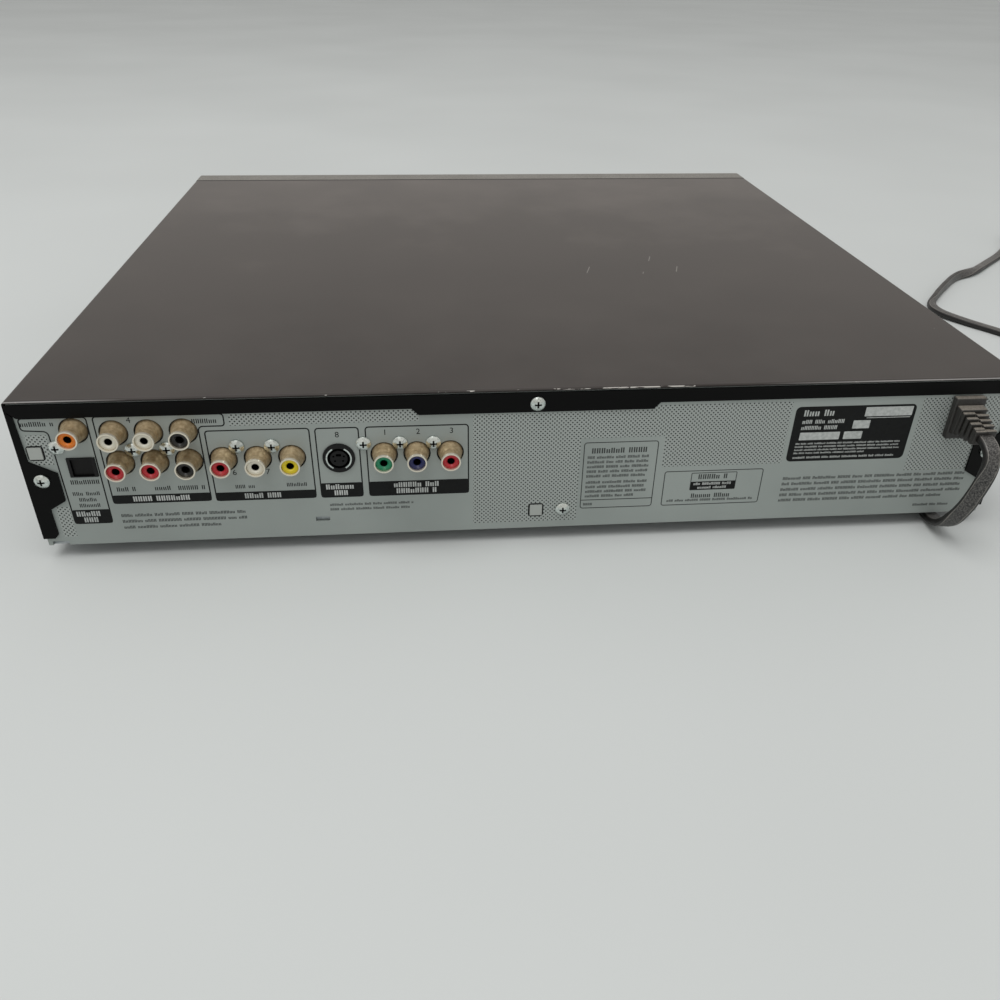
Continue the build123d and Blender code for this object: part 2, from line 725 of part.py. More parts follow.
# LOADING DECK
rack_gear_pitch = loading_module * rack_gear_teeth / 2
belt_pinion_pitch = loading_module * belt_pinion_teeth / 2
rack_gear_x = rack_x - rack_gear_pitch
belt_gear_x = rack_gear_x - rack_gear_pitch - belt_pinion_pitch
pulley_radius = 17.0
pulley_low = 33.0
pulley_width = 3.5
small_pulley = 3.5
motor_x = belt_gear_x - 33.0
loading_gear_low = tray_z - rack_depth + 0.2
loading_gear_high = tray_z - 0.5
gear_post = 2.5
with BuildPart() as deck:
    with BuildSketch(at_y(rail_rear)):
        for side in (-1, 1):
            with Locations((side * (rail_inside + rail_width / 2), (rail_low + rail_high) / 2)):
                Rectangle(rail_width, rail_high - rail_low)
    extrude(amount=rail_rear - rail_front)
    with BuildSketch(at_y(rail_rear + 1)):
        with Locations((0, tray_z + tray_plate / 2)):
            Rectangle(2 * (tray_half + 0.4), tray_plate + 0.4)
        for side in (-1, 1):
            with Locations((side * (rail_inside + rail_width), rail_low + 10)):
                Rectangle(2 * (rail_width - 4), 20.2)
    extrude(amount=rail_rear - rail_front + 2, mode=Mode.SUBTRACT)
    with BuildSketch(at_z(deck_plate_low)):
        with Locations((0, (rail_front + 2 + deck_plate_rear) / 2)):
            Rectangle(2 * (rail_inside + 4), deck_plate_rear - rail_front - 2)
        with Locations((motor_x, gear_y)):
            Circle(4.2, mode=Mode.SUBTRACT)
        for x in (-110, -40):
            with Locations((x, -150)):
                RectangleRounded(52, 40, 6, mode=Mode.SUBTRACT)
    extrude(amount=deck_plate_high - deck_plate_low)
    with BuildSketch(at_z(tub_low)):
        with Locations((0, (tub_front + tub_rear) / 2)):
            Rectangle(2 * (tub_half + tub_wall), tub_rear - tub_front)
    extrude(amount=tub_high - tub_low)
    block(-tub_half, tub_half, tub_front + tub_wall, tub_rear - tub_wall, tub_low + tub_wall, tub_high,
          mode=Mode.SUBTRACT)
    for side in (-1, 1):
        inner, outer = sorted((side * (tub_half - 4), side * (tub_half + tub_wall)))
        block(inner, outer, deck_plate_rear, tub_front + 1, rail_low, deck_plate_high)
        for y in (25.0, 125.0):
            inner, outer = sorted((side * (tub_half + 1), side * (rail_inside + 1)))
            block(inner, outer, y - 4, y + 4, rail_low, rail_low + 8)
        for y in (rail_front + 8, rail_rear - 8):
            post(side * (rail_inside + 2), y, 2, floor_z, rail_low)
        post(side * guide_x, guide_y, guide_radius, tub_low + 1, tray_z - 0.6)
        for y in (tub_front + 18, tub_rear - 18):
            post(side * (tub_half - 10), y, 4, floor_z, tub_low)
    for x in (rack_gear_x, belt_gear_x):
        post(x, gear_y, gear_post, deck_plate_high, loading_gear_high)
    post(rack_gear_x, gear_y, gear_post + 2, deck_plate_high, loading_gear_low - fit)
    post(belt_gear_x, gear_y, gear_post + 2, deck_plate_high, pulley_low - fit)
save(deck, "deck")

rack_turn = 180 / rack_gear_teeth
with BuildPart() as rack_gear:
    with BuildSketch(at_z(loading_gear_low)):
        with BuildLine():
            teeth = gear_outline(rack_gear_teeth, loading_module, rack_turn, (rack_gear_x, gear_y))
            Polyline(*teeth, close=True)
        make_face()
        with Locations((rack_gear_x, gear_y)):
            Circle(gear_post + bearing, mode=Mode.SUBTRACT)
    extrude(amount=loading_gear_high - loading_gear_low)
save(rack_gear, "rack_gear")

# A tooth of the rack gear points at 180 degrees plus this; the pinion shows it a gap
facing = (rack_turn - 180) % (360 / rack_gear_teeth)
pinion_phase = -facing * rack_gear_teeth / belt_pinion_teeth + 180 / belt_pinion_teeth
with BuildPart() as belt_gear:
    with BuildSketch(at_z(pulley_low + pulley_width)):
        with BuildLine():
            teeth = gear_outline(belt_pinion_teeth, loading_module, pinion_phase, (belt_gear_x, gear_y))
            Polyline(*teeth, close=True)
        make_face()
    extrude(amount=loading_gear_high - pulley_low - pulley_width)
    with BuildSketch(at_z(pulley_low)):
        with Locations((belt_gear_x, gear_y)):
            Circle(pulley_radius)
    extrude(amount=pulley_width)
    post(belt_gear_x, gear_y, gear_post + bearing, pulley_low, loading_gear_high, mode=Mode.SUBTRACT)
save(belt_gear, "belt_gear")

motor_shaft = 1.0
with BuildPart() as motor_pulley:
    with BuildSketch(at_z(pulley_low - 1)):
        with Locations((motor_x, gear_y)):
            Circle(small_pulley + 1)
    extrude(amount=0.8)
    with BuildSketch(at_z(pulley_low - 0.2)):
        with Locations((motor_x, gear_y)):
            Circle(small_pulley)
    extrude(amount=pulley_width + 0.2)
    top = pulley_low + pulley_width
    post(motor_x, gear_y, motor_shaft + bearing, pulley_low - 1, top, mode=Mode.SUBTRACT)
save(motor_pulley, "motor_pulley")

belt_thick = 1.2
with BuildPart() as drive_belt:
    with BuildSketch(at_z(pulley_low + 0.75)):
        with Locations((motor_x, gear_y)):
            Circle(small_pulley + fit + belt_thick)
        with Locations((belt_gear_x, gear_y)):
            Circle(pulley_radius + fit + belt_thick)
        make_hull()
    extrude(amount=2)
    with BuildSketch(at_z(pulley_low + 0.75)):
        with Locations((motor_x, gear_y)):
            Circle(small_pulley + fit)
        with Locations((belt_gear_x, gear_y)):
            Circle(pulley_radius + fit)
        make_hull()
    extrude(amount=2, mode=Mode.SUBTRACT)
save(drive_belt, "drive_belt")

with BuildPart() as loading_motor:
    post(motor_x, gear_y, motor_case, deck_plate_low - 15, deck_plate_low)
    chamfer(loading_motor.edges().group_by(Axis.Z)[0], 1.2)
    post(motor_x, gear_y, 4, deck_plate_low, deck_plate_high)
    post(motor_x, gear_y, motor_shaft, deck_plate_high, pulley_low + pulley_width)
save(loading_motor, "loading_motor")

# Clamp bridge, a channel that stands on the rails and holds the clamper over the spindle
bridge_top = bridge_z + bridge_sheet
bridge_ys = (spindle_y - bridge_width / 2, spindle_y + bridge_width / 2)
with BuildPart() as clamp_bridge:
    with BuildSketch(at_z(bridge_z)):
        with Locations((0, spindle_y)):
            Rectangle(2 * bridge_half, bridge_width)
            Circle(clamper_radius + fit, mode=Mode.SUBTRACT)
    extrude(amount=bridge_sheet)
    for side in (-1, 1):
        edge = spindle_y + side * bridge_width / 2
        low, high = sorted((edge, edge - side * bridge_sheet))
        block(6 - bridge_half, bridge_half - 6, low, high, bridge_top, bridge_top + bridge_lip)
        inner, outer = sorted((side * bridge_half, side * (bridge_half - bridge_sheet)))
        block(inner, outer, *bridge_ys, rail_high, bridge_z)
        inner, outer = sorted((side * bridge_half, side * (rail_inside + rail_width)))
        block(inner, outer, *bridge_ys, rail_high, rail_high + bridge_sheet)
save(clamp_bridge, "clamp_bridge")

with BuildPart() as clamper:
    with BuildSketch(Plane.XZ):
        with BuildLine():
            rest = bridge_top + 0.2
            low = disc_z + 1.4
            Polyline(
                (0, low + 3), (8.2, low + 3), (8.2, low), (clamper_radius - 0.5, low),
                (clamper_radius, low + 0.5), (clamper_radius, rest), (clamper_radius + 3, rest),
                (clamper_radius + 3, rest + 1.5), (9, rest + 1.5), (8, rest + 0.6), (0, rest + 0.6),
                close=True,
            )
        make_face()
    revolve(axis=Axis.Z)
clamper_part = Pos(0, spindle_y, 0) * clamper.part
clamper_part.label = "clamper"
export_step(clamper_part, "parts/clamper.step")

# OPTICAL UNIT
ledge_places = [(x, y) for x in (-46.0, 46.0) for y in (35.0, 127.0)]
ledge_low = frame_high - 5.0
with BuildPart() as lift_frame:
    with BuildSketch(at_z(frame_low)):
        with Locations((0, (frame_front + frame_rear) / 2)):
            frame_long = frame_rear - frame_front
            RectangleRounded(2 * frame_half, frame_long, 4)
            Rectangle(2 * (frame_half - frame_wall), frame_long - 2 * frame_wall, mode=Mode.SUBTRACT)
    extrude(amount=frame_high - frame_low)
    for x, y in ledge_places:
        side = 1 if x > 0 else -1
        inner, outer = sorted((x - side * 6, side * (frame_half - 1)))
        block(inner, outer, y - 7, y + 7, ledge_low, frame_high)
    for side in (-1, 1):
        post(side * guide_x, guide_y, 5, frame_low + 4, frame_high + 2)
        post(side * guide_x, guide_y, guide_radius + bearing, frame_low, frame_high + 2, mode=Mode.SUBTRACT)
    with BuildSketch(at_x(frame_half - 1)):
        with Locations(*[(y, cam_pin_z) for y in cam_pin_ys]):
            Circle(cam_pin_radius)
    extrude(amount=cam_x + cam_thick - frame_half + 1)
save(lift_frame, "lift_frame")

cam_slope = (-cam_travel, lift_travel)
cam_slot = hypot(*cam_slope)
with BuildPart() as lift_cam:
    with BuildSketch(at_x(cam_x)):
        with BuildLine():
            low, high = tub_low + tub_wall + fit, cam_pin_z + lift_travel + 5
            back, front = cam_pin_ys[0] - cam_travel - 6, cam_pin_ys[1] + 6
            shoulder = cam_pin_ys[1] - cam_travel + 4
            Polyline((back, low), (front, low), (front, low + 10), (shoulder, high), (back, high), close=True)
        make_face()
        slot_angle = degrees(atan2(lift_travel, -cam_travel))
        for y in cam_pin_ys:
            middle = (y + cam_slope[0] / 2, cam_pin_z + cam_slope[1] / 2)
            with Locations(Location(middle, slot_angle)):
                SlotCenterToCenter(cam_slot, 2 * (cam_pin_radius + 0.15), mode=Mode.SUBTRACT)
    extrude(amount=cam_thick)
save(lift_cam, "lift_cam")

with BuildPart() as insulator:
    with BuildSketch(Plane.XZ):
        with BuildLine():
            waist = frame_high + 2.3
            Polyline((0, frame_high), (4.5, frame_high), (4.5, waist - 0.9), (3.4, waist - 0.3),
                     (3.4, waist + 0.3), (4.5, waist + 0.9), (4.5, plate_low), (0, plate_low), close=True)
        make_face()
    revolve(axis=Axis.Z)

with BuildPart() as insulators:
    with Locations(*[(x, y, 0) for x, y in ledge_places]):
        add(insulator.part)
save(insulators, "insulators")

rod_front = plate_front + 1.0
rod_rear = spindle_y - 4.0
rod_tab = 1.5
sled_gear_y = 66.0
rack_line = 36.0
sled_pitch = sled_module * sled_teeth / 2
sled_x = rack_line + sled_pitch
with BuildPart() as base_plate:
    with BuildSketch(at_z(plate_low)):
        with Locations((0, (plate_front + plate_rear) / 2)):
            RectangleRounded(2 * plate_half, plate_rear - plate_front, 5)
        with Locations((0, (pickup_y - pickup_travel + pickup_y) / 2)):
            Rectangle(2 * (lens_half + 2), pickup_travel + 2 * lens_reach + 3, mode=Mode.SUBTRACT)
        with Locations((0, spindle_y)):
            Circle(4, mode=Mode.SUBTRACT)
        with Locations((sled_x, sled_gear_y)):
            Circle(3, mode=Mode.SUBTRACT)
    extrude(amount=plate_sheet)
    for side in (-1, 1):
        for y in (rod_front, rod_rear - rod_tab):
            block(side * rod_x - 3.5, side * rod_x + 3.5, y, y + rod_tab, rod_z - 3, plate_low)
    with BuildSketch(at_y(rod_rear)):
        with Locations((-rod_x, rod_z), (rod_x, rod_z)):
            Circle(rod_radius + bearing)
    extrude(amount=rod_rear - rod_front, mode=Mode.SUBTRACT)
save(base_plate, "base_plate")

with BuildPart() as guide_rods:
    with BuildSketch(at_y(rod_rear)):
        with Locations((-rod_x, rod_z), (rod_x, rod_z)):
            Circle(rod_radius)
    extrude(amount=rod_rear - rod_front)
save(guide_rods, "guide_rods")

with BuildPart() as spindle_motor:
    post(0, spindle_y, motor_radius, plate_low - 10, plate_low)
    chamfer(spindle_motor.edges().group_by(Axis.Z)[0], 1.2)
    post(0, spindle_y, 3.9, plate_low, plate_high + 0.8)
    post(0, spindle_y, motor_shaft + bearing, plate_low - 6, plate_high + 1, mode=Mode.SUBTRACT)
save(spindle_motor, "spindle_motor")

with BuildPart() as turntable:
    with BuildSketch(Plane.XZ):
        with BuildLine():
            hub_low = plate_high + 1.1
            Polyline(
                (0, plate_low - 5.5), (motor_shaft, plate_low - 5.5), (motor_shaft, hub_low), (5, hub_low),
                (5, turntable_z - 3), (turntable_radius, turntable_z - 2.2), (turntable_radius, turntable_z),
                (7.4, turntable_z), (7.2, turntable_z + 1.2), (5.6, turntable_z + 2.5),
                (0, turntable_z + 2.5), close=True,
            )
        make_face()
    revolve(axis=Axis.Z)
turntable_part = Pos(0, spindle_y, 0) * turntable.part
turntable_part.label = "turntable"
export_step(turntable_part, "parts/turntable.step")

# Pickup on its two rods, with the rack that the sled gear turns
body_half = 31.0
body_low = rod_z - 4.0
body_high = plate_low - 0.6
with BuildPart() as optical_pickup:
    with BuildSketch(at_z(body_low)):
        with BuildLine():
            front, back = pickup_y - 12, pickup_y + 10
            Polyline(
                (-body_half, front + 3), (3 - body_half, front), (body_half - 6, front),
                (body_half, front + 6), (body_half, back), (16, back), (10, back - 5),
                (-10, back - 5), (-16, back), (-body_half, back), close=True,
            )
        make_face()
    extrude(amount=body_high - body_low)
    block(-lens_half, lens_half, pickup_y - lens_reach, pickup_y + 5, body_high, turntable_z - 3.6)
    chamfer(optical_pickup.edges().group_by(Axis.Z)[-1], 0.8)
    with BuildSketch(at_z(turntable_z - 3.6)):
        with Locations((0, pickup_y)):
            Circle(3.4)
    extrude(amount=1.8, taper=12)
    with BuildSketch(at_y(pickup_y + 20)):
        with Locations((-rod_x, rod_z)):
            Circle(rod_radius + bearing)
        with Locations((rod_x + 4, rod_z)):
            Rectangle(8 + 2 * rod_radius, 2 * (rod_radius + bearing))
    extrude(amount=60, mode=Mode.SUBTRACT)
    with BuildSketch(at_z(body_low)):
        with BuildLine():
            low, high = sled_gear_y - 4.5, sled_gear_y + pickup_travel + 4.5
            Polyline(*rack_outline(sled_module, rack_line, 1, 2.0, low, high, sled_gear_y), close=True)
        make_face()
        web_out = rack_line - dedendum * sled_module - 0.5
        with Locations(((body_half + web_out) / 2 - 0.5, pickup_y - 1)):
            Rectangle(web_out - body_half + 1, 12)
    extrude(amount=2.0)
save(optical_pickup, "optical_pickup")

with BuildPart() as sled_motor:
    post(sled_x, sled_gear_y, 8, body_low + 3, plate_low)
    post(sled_x, sled_gear_y, motor_shaft, body_low - 1, body_low + 3)
    post(sled_x, sled_gear_y, 2.9, plate_low, plate_high + 0.5)
save(sled_motor, "sled_motor")

with BuildPart() as sled_gear:
    with BuildSketch(at_z(body_low)):
        with BuildLine():
            teeth = gear_outline(sled_teeth, sled_module, 180 / sled_teeth, (sled_x, sled_gear_y))
            Polyline(*teeth, close=True)
        make_face()
        with Locations((sled_x, sled_gear_y)):
            Circle(motor_shaft + bearing, mode=Mode.SUBTRACT)
    extrude(amount=2.5)
save(sled_gear, "sled_gear")

# BOARDS
board_top = standoff_z + board_thick
with BuildPart() as main_board:
    with BuildSketch(at_z(standoff_z)):
        with Locations((126, 62)):
            Rectangle(96, 180)
    extrude(amount=board_thick)
    block(106, 134, 40, 68, board_top, board_top + 3)
    block(142, 162, 44, 64, board_top, board_top + 2)
    block(94, 104, 84, 106, board_top, board_top + 2)
    block(120, 150, 92, 100, board_top, board_top + 2)
    block(100, 130, -16, -10, board_top, board_top + 7)
    block(86, 114, 146, 151, board_top, board_z)
    block(146, 170, 146, 151, board_top, board_z)
save(main_board, "main_board")

capacitors = [(-150, 100, 9, 25), (-128, 104, 6, 16), (-96, 80, 5, 12), (-96, 94, 5, 12), (-108, -8, 5, 12)]
with BuildPart() as power_board:
    with BuildSketch(at_z(standoff_z)):
        with Locations((-126, 57)):
            Rectangle(96, 170)
    extrude(amount=board_thick)
    for x, y, radius, tall in capacitors:
        post(x, y, radius, board_top, board_top + tall)
    block(-120, -117, 40, 90, board_top, board_top + 24)
    block(-170, -150, 132, 140, board_top, board_top + 8)
    block(-160, -138, 0, 14, board_top, board_top + 16)
save(power_board, "power_board")

with BuildPart() as transformer:
    block(-162, -130, 38, 70, board_top, board_top + 5)
    block(-158, -134, 44, 64, board_top + 5, board_top + 21)
    block(-162, -130, 47, 61, board_top + 5, board_top + 24)
    block(-162, -130, 38, 70, board_top + 20, board_top + 22)
save(transformer, "transformer")

jack_board_front = 145.0
panel_inside = rear_y - sheet
with BuildPart() as jack_board:
    with BuildSketch(at_z(board_z)):
        with BuildLine():
            edge = panel_inside - 0.8
            Polyline(
                (half - 187, edge), (half - 187, panel_inside - 22), (half - 137, panel_inside - 22),
                (half - 137, jack_board_front), (half - 43, jack_board_front), (half - 9, panel_inside - 30),
                (half - 9, edge), close=True,
            )
        make_face()
    extrude(amount=board_thick)
    block(96, 120, 150, 164, board_z + board_thick, board_z + board_thick + 2.5)
save(jack_board, "jack_board")

# JACKS
housing_low = board_z + board_thick
optical_roof = optical[1] + optical_height / 2 + 2.2
housings = [
    (half - 31.8, half - 10.0, optical_roof, 70.0),
    (half - 74.8, half - 33.2, housing_low, 69.5),
    (half - 117.8, half - 75.2, housing_low, 57.5),
    (half - 185.5, half - 144.2, housing_low, 57.5),
]
with BuildPart() as rca_housings:
    for x0, x1, z0, z1 in housings:
        block(x0, x1, panel_inside - housing_depth, panel_inside, z0, z1)
    with BuildSketch(at_y(panel_inside)):
        with Locations(*jacks):
            Circle(pin_hole + 0.6)
        with Locations(*[p for p in rear_screw_places[:-1] if p != video_screw]):
            Circle(screw_shank + bearing)
    extrude(amount=screw_length + 1, mode=Mode.SUBTRACT)
    back = panel_inside - housing_depth
    block(half - 17, half - 10, back, back + 4, housing_low, optical_roof)
save(rca_housings, "rca_housings")

with BuildPart() as rca_shell:
    with BuildSketch(Plane.XY):
        with BuildLine():
            Polyline(
                (barrel_bore, -sheet), (barrel_base, -sheet), (barrel_tip, barrel_taper),
                (barrel_tip, jack_reach), (barrel_bore, jack_reach), close=True,
            )
        make_face()
    revolve(axis=Axis.Y)

with BuildPart() as rca_shells:
    with Locations(*[(x, rear_y, z) for x, z in jacks]):
        add(rca_shell.part)
save(rca_shells, "rca_shells")

with BuildPart() as rca_insert:
    with BuildSketch(Plane.XY):
        with BuildLine():
            end = jack_reach - insert_sink
            outer = barrel_bore - 0.05
            Polyline((pin_hole, -sheet), (outer, -sheet), (outer, end - 0.4), (pin_hole + 0.6, end),
                     (pin_hole, end - 0.6), close=True)
        make_face()
    revolve(axis=Axis.Y)

with BuildPart() as rca_inserts:
    with Locations(*[(x, rear_y, z) for x, z in jacks]):
        add(rca_insert.part)
save(rca_inserts, "rca_inserts")

with BuildPart() as s_video_jack:
    low_x, high_x = s_video[0] - 13.3, s_video[0] + 10.9
    block(low_x, high_x, panel_inside - housing_depth, panel_inside, housing_low, 57.5)
    with BuildSketch(at_y(rear_y + 0.8)):
        with Locations(s_video):
            Circle(s_video_radius)
    extrude(amount=sheet + 0.8)
    with BuildSketch(at_y(rear_y + 0.8)):
        with Locations(s_video):
            Circle(4.8)
            Circle(3.7, mode=Mode.SUBTRACT)
    extrude(amount=7.5, mode=Mode.SUBTRACT)
    with BuildSketch(at_y(rear_y + 0.8)):
        with Locations(s_video):
            with Locations((-1.7, -1.2), (1.7, -1.2), (-2.2, 1.0), (2.2, 1.0)):
                Rectangle(0.8, 0.8)
            with Locations((0, 1.6)):
                Rectangle(2.2, 1.2)
    extrude(amount=5, mode=Mode.SUBTRACT)
    with BuildSketch(at_y(panel_inside)):
        with Locations(video_screw):
            Circle(screw_shank + bearing)
    extrude(amount=screw_length + 1, mode=Mode.SUBTRACT)
save(s_video_jack, "s_video_jack")

# Optical jack with a sprung flap that a plug pushes in and up
optical_rise = 0.7
cavity_depth = 11.0
flap_pivot = (rear_y - 0.9, optical[1] + 3.3)
flap_pin = 0.5
flap_low = optical[1] - 3.9
with BuildPart() as optical_jack:
    with BuildSketch(at_y(rear_y + optical_rise)):
        with Locations(optical):
            Rectangle(optical_width, optical_height)
    extrude(amount=optical_rise + sheet)
    case = (optical[0] - 6.5, optical[0] + 6.5)
    block(*case, panel_inside - 15, panel_inside, housing_low, optical_roof - 0.2)
    with BuildSketch(at_y(rear_y + optical_rise)):
        with Locations((optical[0], optical[1])):
            Rectangle(optical_cavity, optical_height - 0.9)
    extrude(amount=cavity_depth, mode=Mode.SUBTRACT)
    with BuildSketch(at_x(optical[0])):
        with Locations(flap_pivot):
            Circle(flap_pin + bearing)
    extrude(amount=optical_cavity / 2 + 0.9, both=True, mode=Mode.SUBTRACT)
save(optical_jack, "optical_jack")

flap_half = optical_cavity / 2 - 0.2
with BuildPart() as optical_shutter:
    block(optical[0] - flap_half, optical[0] + flap_half, flap_pivot[0] - flap_pin, flap_pivot[0] + flap_pin,
          flap_low, flap_pivot[1])
    with BuildSketch(at_x(optical[0])):
        with Locations(flap_pivot):
            Circle(flap_pin)
    extrude(amount=flap_half + 0.9, both=True)
save(optical_shutter, "optical_shutter")

# POWER CORD
flange_w, flange_h, flange_t = gland_flange
rib_count = 6
boot_heading = (0, cos(radians(boot_drop)), -sin(radians(boot_drop)))
boot_plane = Plane(boot_start, x_dir=(1, 0, 0), z_dir=boot_heading)
boot_ends = ((9.4, 10.0), (8.4, 5.2))
with BuildPart() as cord_gland:
    with BuildSketch(at_y(rear_y + flange_t)):
        with Locations(gland):
            RectangleRounded(flange_w, flange_h, 1)
    extrude(amount=flange_t)
    with BuildSketch(at_y(rear_y)):
        with Locations(gland):
            Rectangle(*gland_neck)
    extrude(amount=sheet + 4)
    with BuildSketch(at_y(panel_inside - 0.2)):
        with Locations(gland):
            Rectangle(gland_neck[0] + 2, gland_neck[1])
    extrude(amount=2.5)
    with BuildSketch(boot_plane.offset(-1)):
        Rectangle(*boot_ends[0])
    with BuildSketch(boot_plane.offset(boot_length)):
        Rectangle(*boot_ends[1])
    loft()
    for k in range(rib_count):
        share = (k + 0.7) / rib_count
        with BuildSketch(boot_plane.offset(boot_length * share - 1)):
            RectangleRounded(12.4 - 2.2 * share, 13.0 - 5.4 * share, 1.2)
        extrude(amount=1.9)
save(cord_gland, "cord_gland")


# Radius of each arc of the route: as large as its two runs allow
def arc_radii(points):
    found = []
    for before, here, after in zip(points, points[1:], points[2:]):
        come, go = Vector(here) - Vector(before), Vector(after) - Vector(here)
        half_turn = radians(come.get_angle(go)) / 2
        found.append(0.45 * min(come.length, go.length) / tan(half_turn))
    return found


cord_radii = arc_radii(cord_route)
print("cord radii", [round(r, 1) for r in cord_radii])


# Flat section with cut corners, about its middle
half_w, half_t, cut = cord_width / 2, cord_thick / 2, 1.1
cord_section = [
    (-half_w, cut - half_t), (cut - half_w, -half_t), (half_w - cut, -half_t), (half_w, cut - half_t),
    (half_w, half_t - cut), (half_w - cut, half_t), (cut - half_w, half_t), (-half_w, half_t - cut),
]
section_area = cord_width * cord_thick - 2 * cut**2
with BuildPart() as power_cord:
    with BuildLine() as cord_path:
        FilletPolyline(*cord_route, radius=cord_radii)
    cord_wire = cord_path.wires()[0]
    with BuildSketch(Plane(cord_exit, x_dir=(1, 0, 0), z_dir=boot_heading)):
        with BuildLine():
            Polyline(*cord_section, close=True)
        make_face()
    sweep(path=cord_wire)
cord_end = cord_wire @ 1
cord_heading = cord_wire % 1
print("cord length", round(cord_wire.length), "volume", round(power_cord.part.volume),
      "section times length", round(section_area * cord_wire.length))
save(power_cord, "power_cord")

# The coil turns clockwise from where the cord ends, and its plane has y along the cord
coil_plane = Plane(cord_end, x_dir=(cord_heading.Y, -cord_heading.X, 0), z_dir=(0, 0, 1))
inward = [coil_inner + (coil_half_turns - k) * coil_pitch / 2 for k in range(coil_half_turns)]
half_turns = [(radius, 0) for radius in inward] + [(coil_inner, coil_rise)]
half_turns += [(radius, 0) for radius in reversed(inward)]
with BuildPart() as cord_coil:
    with BuildLine(coil_plane) as coil_path:
        x, z, side = 0, 0, 1
        Line((0, 0, 0), (0, cord_width, 0))
        for radius, climb in half_turns:
            crest = side * sqrt(radius**2 + climb**2 / 4)
            far = (x + side * 2 * radius, cord_width, z + climb)
            ThreePointArc((x, cord_width, z), ((x + far[0]) / 2, cord_width + crest, z + climb / 2), far)
            x, z, side = far[0], far[2], -side
        Line((x, cord_width, z), (x, cord_width + side * coil_tail, z))
    coil_wire = coil_path.wires()[0]
    with BuildSketch(Plane(cord_end, x_dir=coil_plane.x_dir, z_dir=cord_heading)):
        with BuildLine():
            Polyline(*cord_section, close=True)
        make_face()
    sweep(path=coil_wire)
coil_end = coil_wire @ 1
coil_heading = coil_wire % 1
print("coil length", round(coil_wire.length), "volume", round(cord_coil.part.volume),
      "section times length", round(section_area * coil_wire.length))
save(cord_coil, "cord_coil")

# Least gap of the coil to itself, on points a few millimetres apart
steps = int(coil_wire.length / 3)
spots = [coil_wire @ (k / steps) for k in range(steps + 1)]
gaps = []
for i, one in enumerate(spots):
    for other in spots[i + int(4 * cord_width / 3):]:
        flat = hypot(one.X - other.X, one.Y - other.Y) - cord_width
        gaps.append(max(flat, abs(one.Z - other.Z) - cord_thick))
print("coil least gap", round(min(gaps), 2))

plug_plane = Plane(coil_end, x_dir=Vector(-coil_heading.Y, coil_heading.X, 0), z_dir=coil_heading)
relief = 16.0
with BuildPart() as power_plug:
    with BuildSketch(plug_plane):
        RectangleRounded(cord_width + 2, cord_thick + 2, 1)
    with BuildSketch(plug_plane.offset(relief)):
        RectangleRounded(cord_width + 5, cord_thick + 4, 1)
    loft()
    with BuildSketch(plug_plane.offset(relief)):
        RectangleRounded(plug_body[1] - 4, plug_body[2] - 2, 2)
    with BuildSketch(plug_plane.offset(relief + plug_body[0])):
        RectangleRounded(plug_body[1] + 4, plug_body[2], 2)
    loft()
    with BuildSketch(plug_plane.offset(relief + plug_body[0])):
        with GridLocations(blade_spacing, 0, 2, 1):
            Rectangle(blade[2], blade[1])
    extrude(amount=blade[0])
save(power_plug, "power_plug")
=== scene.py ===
# Five-disc changer seen from behind: camera, lead, print on the rear panel, finishes, studio.
import bpy
import bmesh
import math
import random
from mathutils import Matrix, Vector


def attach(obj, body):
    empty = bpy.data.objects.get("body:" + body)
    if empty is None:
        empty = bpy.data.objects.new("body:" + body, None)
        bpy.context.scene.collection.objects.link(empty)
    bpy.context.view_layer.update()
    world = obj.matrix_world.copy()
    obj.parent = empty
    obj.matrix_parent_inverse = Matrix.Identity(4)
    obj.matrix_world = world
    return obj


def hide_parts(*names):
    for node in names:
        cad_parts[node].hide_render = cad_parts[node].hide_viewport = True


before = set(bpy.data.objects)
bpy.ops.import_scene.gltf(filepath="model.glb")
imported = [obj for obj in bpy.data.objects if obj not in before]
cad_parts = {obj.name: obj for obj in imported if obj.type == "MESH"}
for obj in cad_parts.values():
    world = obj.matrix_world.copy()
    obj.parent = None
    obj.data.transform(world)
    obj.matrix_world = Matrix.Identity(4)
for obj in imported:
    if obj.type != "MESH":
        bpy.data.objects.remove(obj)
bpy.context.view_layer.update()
mm = 0.001
panelY = 196.75  # outer face of the rear panel, in mm
print("frame loaded:", len(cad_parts), "nodes")


# A hex sRGB colour as linear red, green, blue and alpha
def hexColour(code):
    channels = [int(code[i:i + 2], 16) / 255 for i in (1, 3, 5)]
    linear = [c / 12.92 if c <= 0.04045 else ((c + 0.055) / 1.055) ** 2.4 for c in channels]
    return (*linear, 1.0)


def newMaterial(name):
    material = bpy.data.materials.new(name)
    material.use_nodes = True
    return material


# Sets a node's inputs to plain values, or links them to a node's first output or a (node, output) pair
def setInputs(material, node, inputs):
    for key, value in inputs.items():
        source = (value, 0) if isinstance(value, bpy.types.Node) else value
        if isinstance(source, tuple) and isinstance(source[0], bpy.types.Node):
            material.node_tree.links.new(source[0].outputs[source[1]], node.inputs[key])
        else:
            node.inputs[key].default_value = source


# Adds a node; stops are the places and colours of a ramp
def addNode(material, kind, inputs=None, stops=(), **settings):
    node = material.node_tree.nodes.new("ShaderNode" + kind)
    for key, value in settings.items():
        setattr(node, key, value)
    for i, (position, colour) in enumerate(stops):
        if i > 1:
            node.color_ramp.elements.new(position)
        node.color_ramp.elements[i].position = position
        node.color_ramp.elements[i].color = hexColour(colour)
    setInputs(material, node, inputs or {})
    return node


# Sets the sockets of the Principled shader
def setShader(material, sockets):
    setInputs(material, material.node_tree.nodes["Principled BSDF"], sockets)


# Gives CAD nodes their finish
def paint(material, *nodes):
    for name in nodes:
        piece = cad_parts[name]
        piece.data.materials.clear()
        piece.data.materials.append(material)


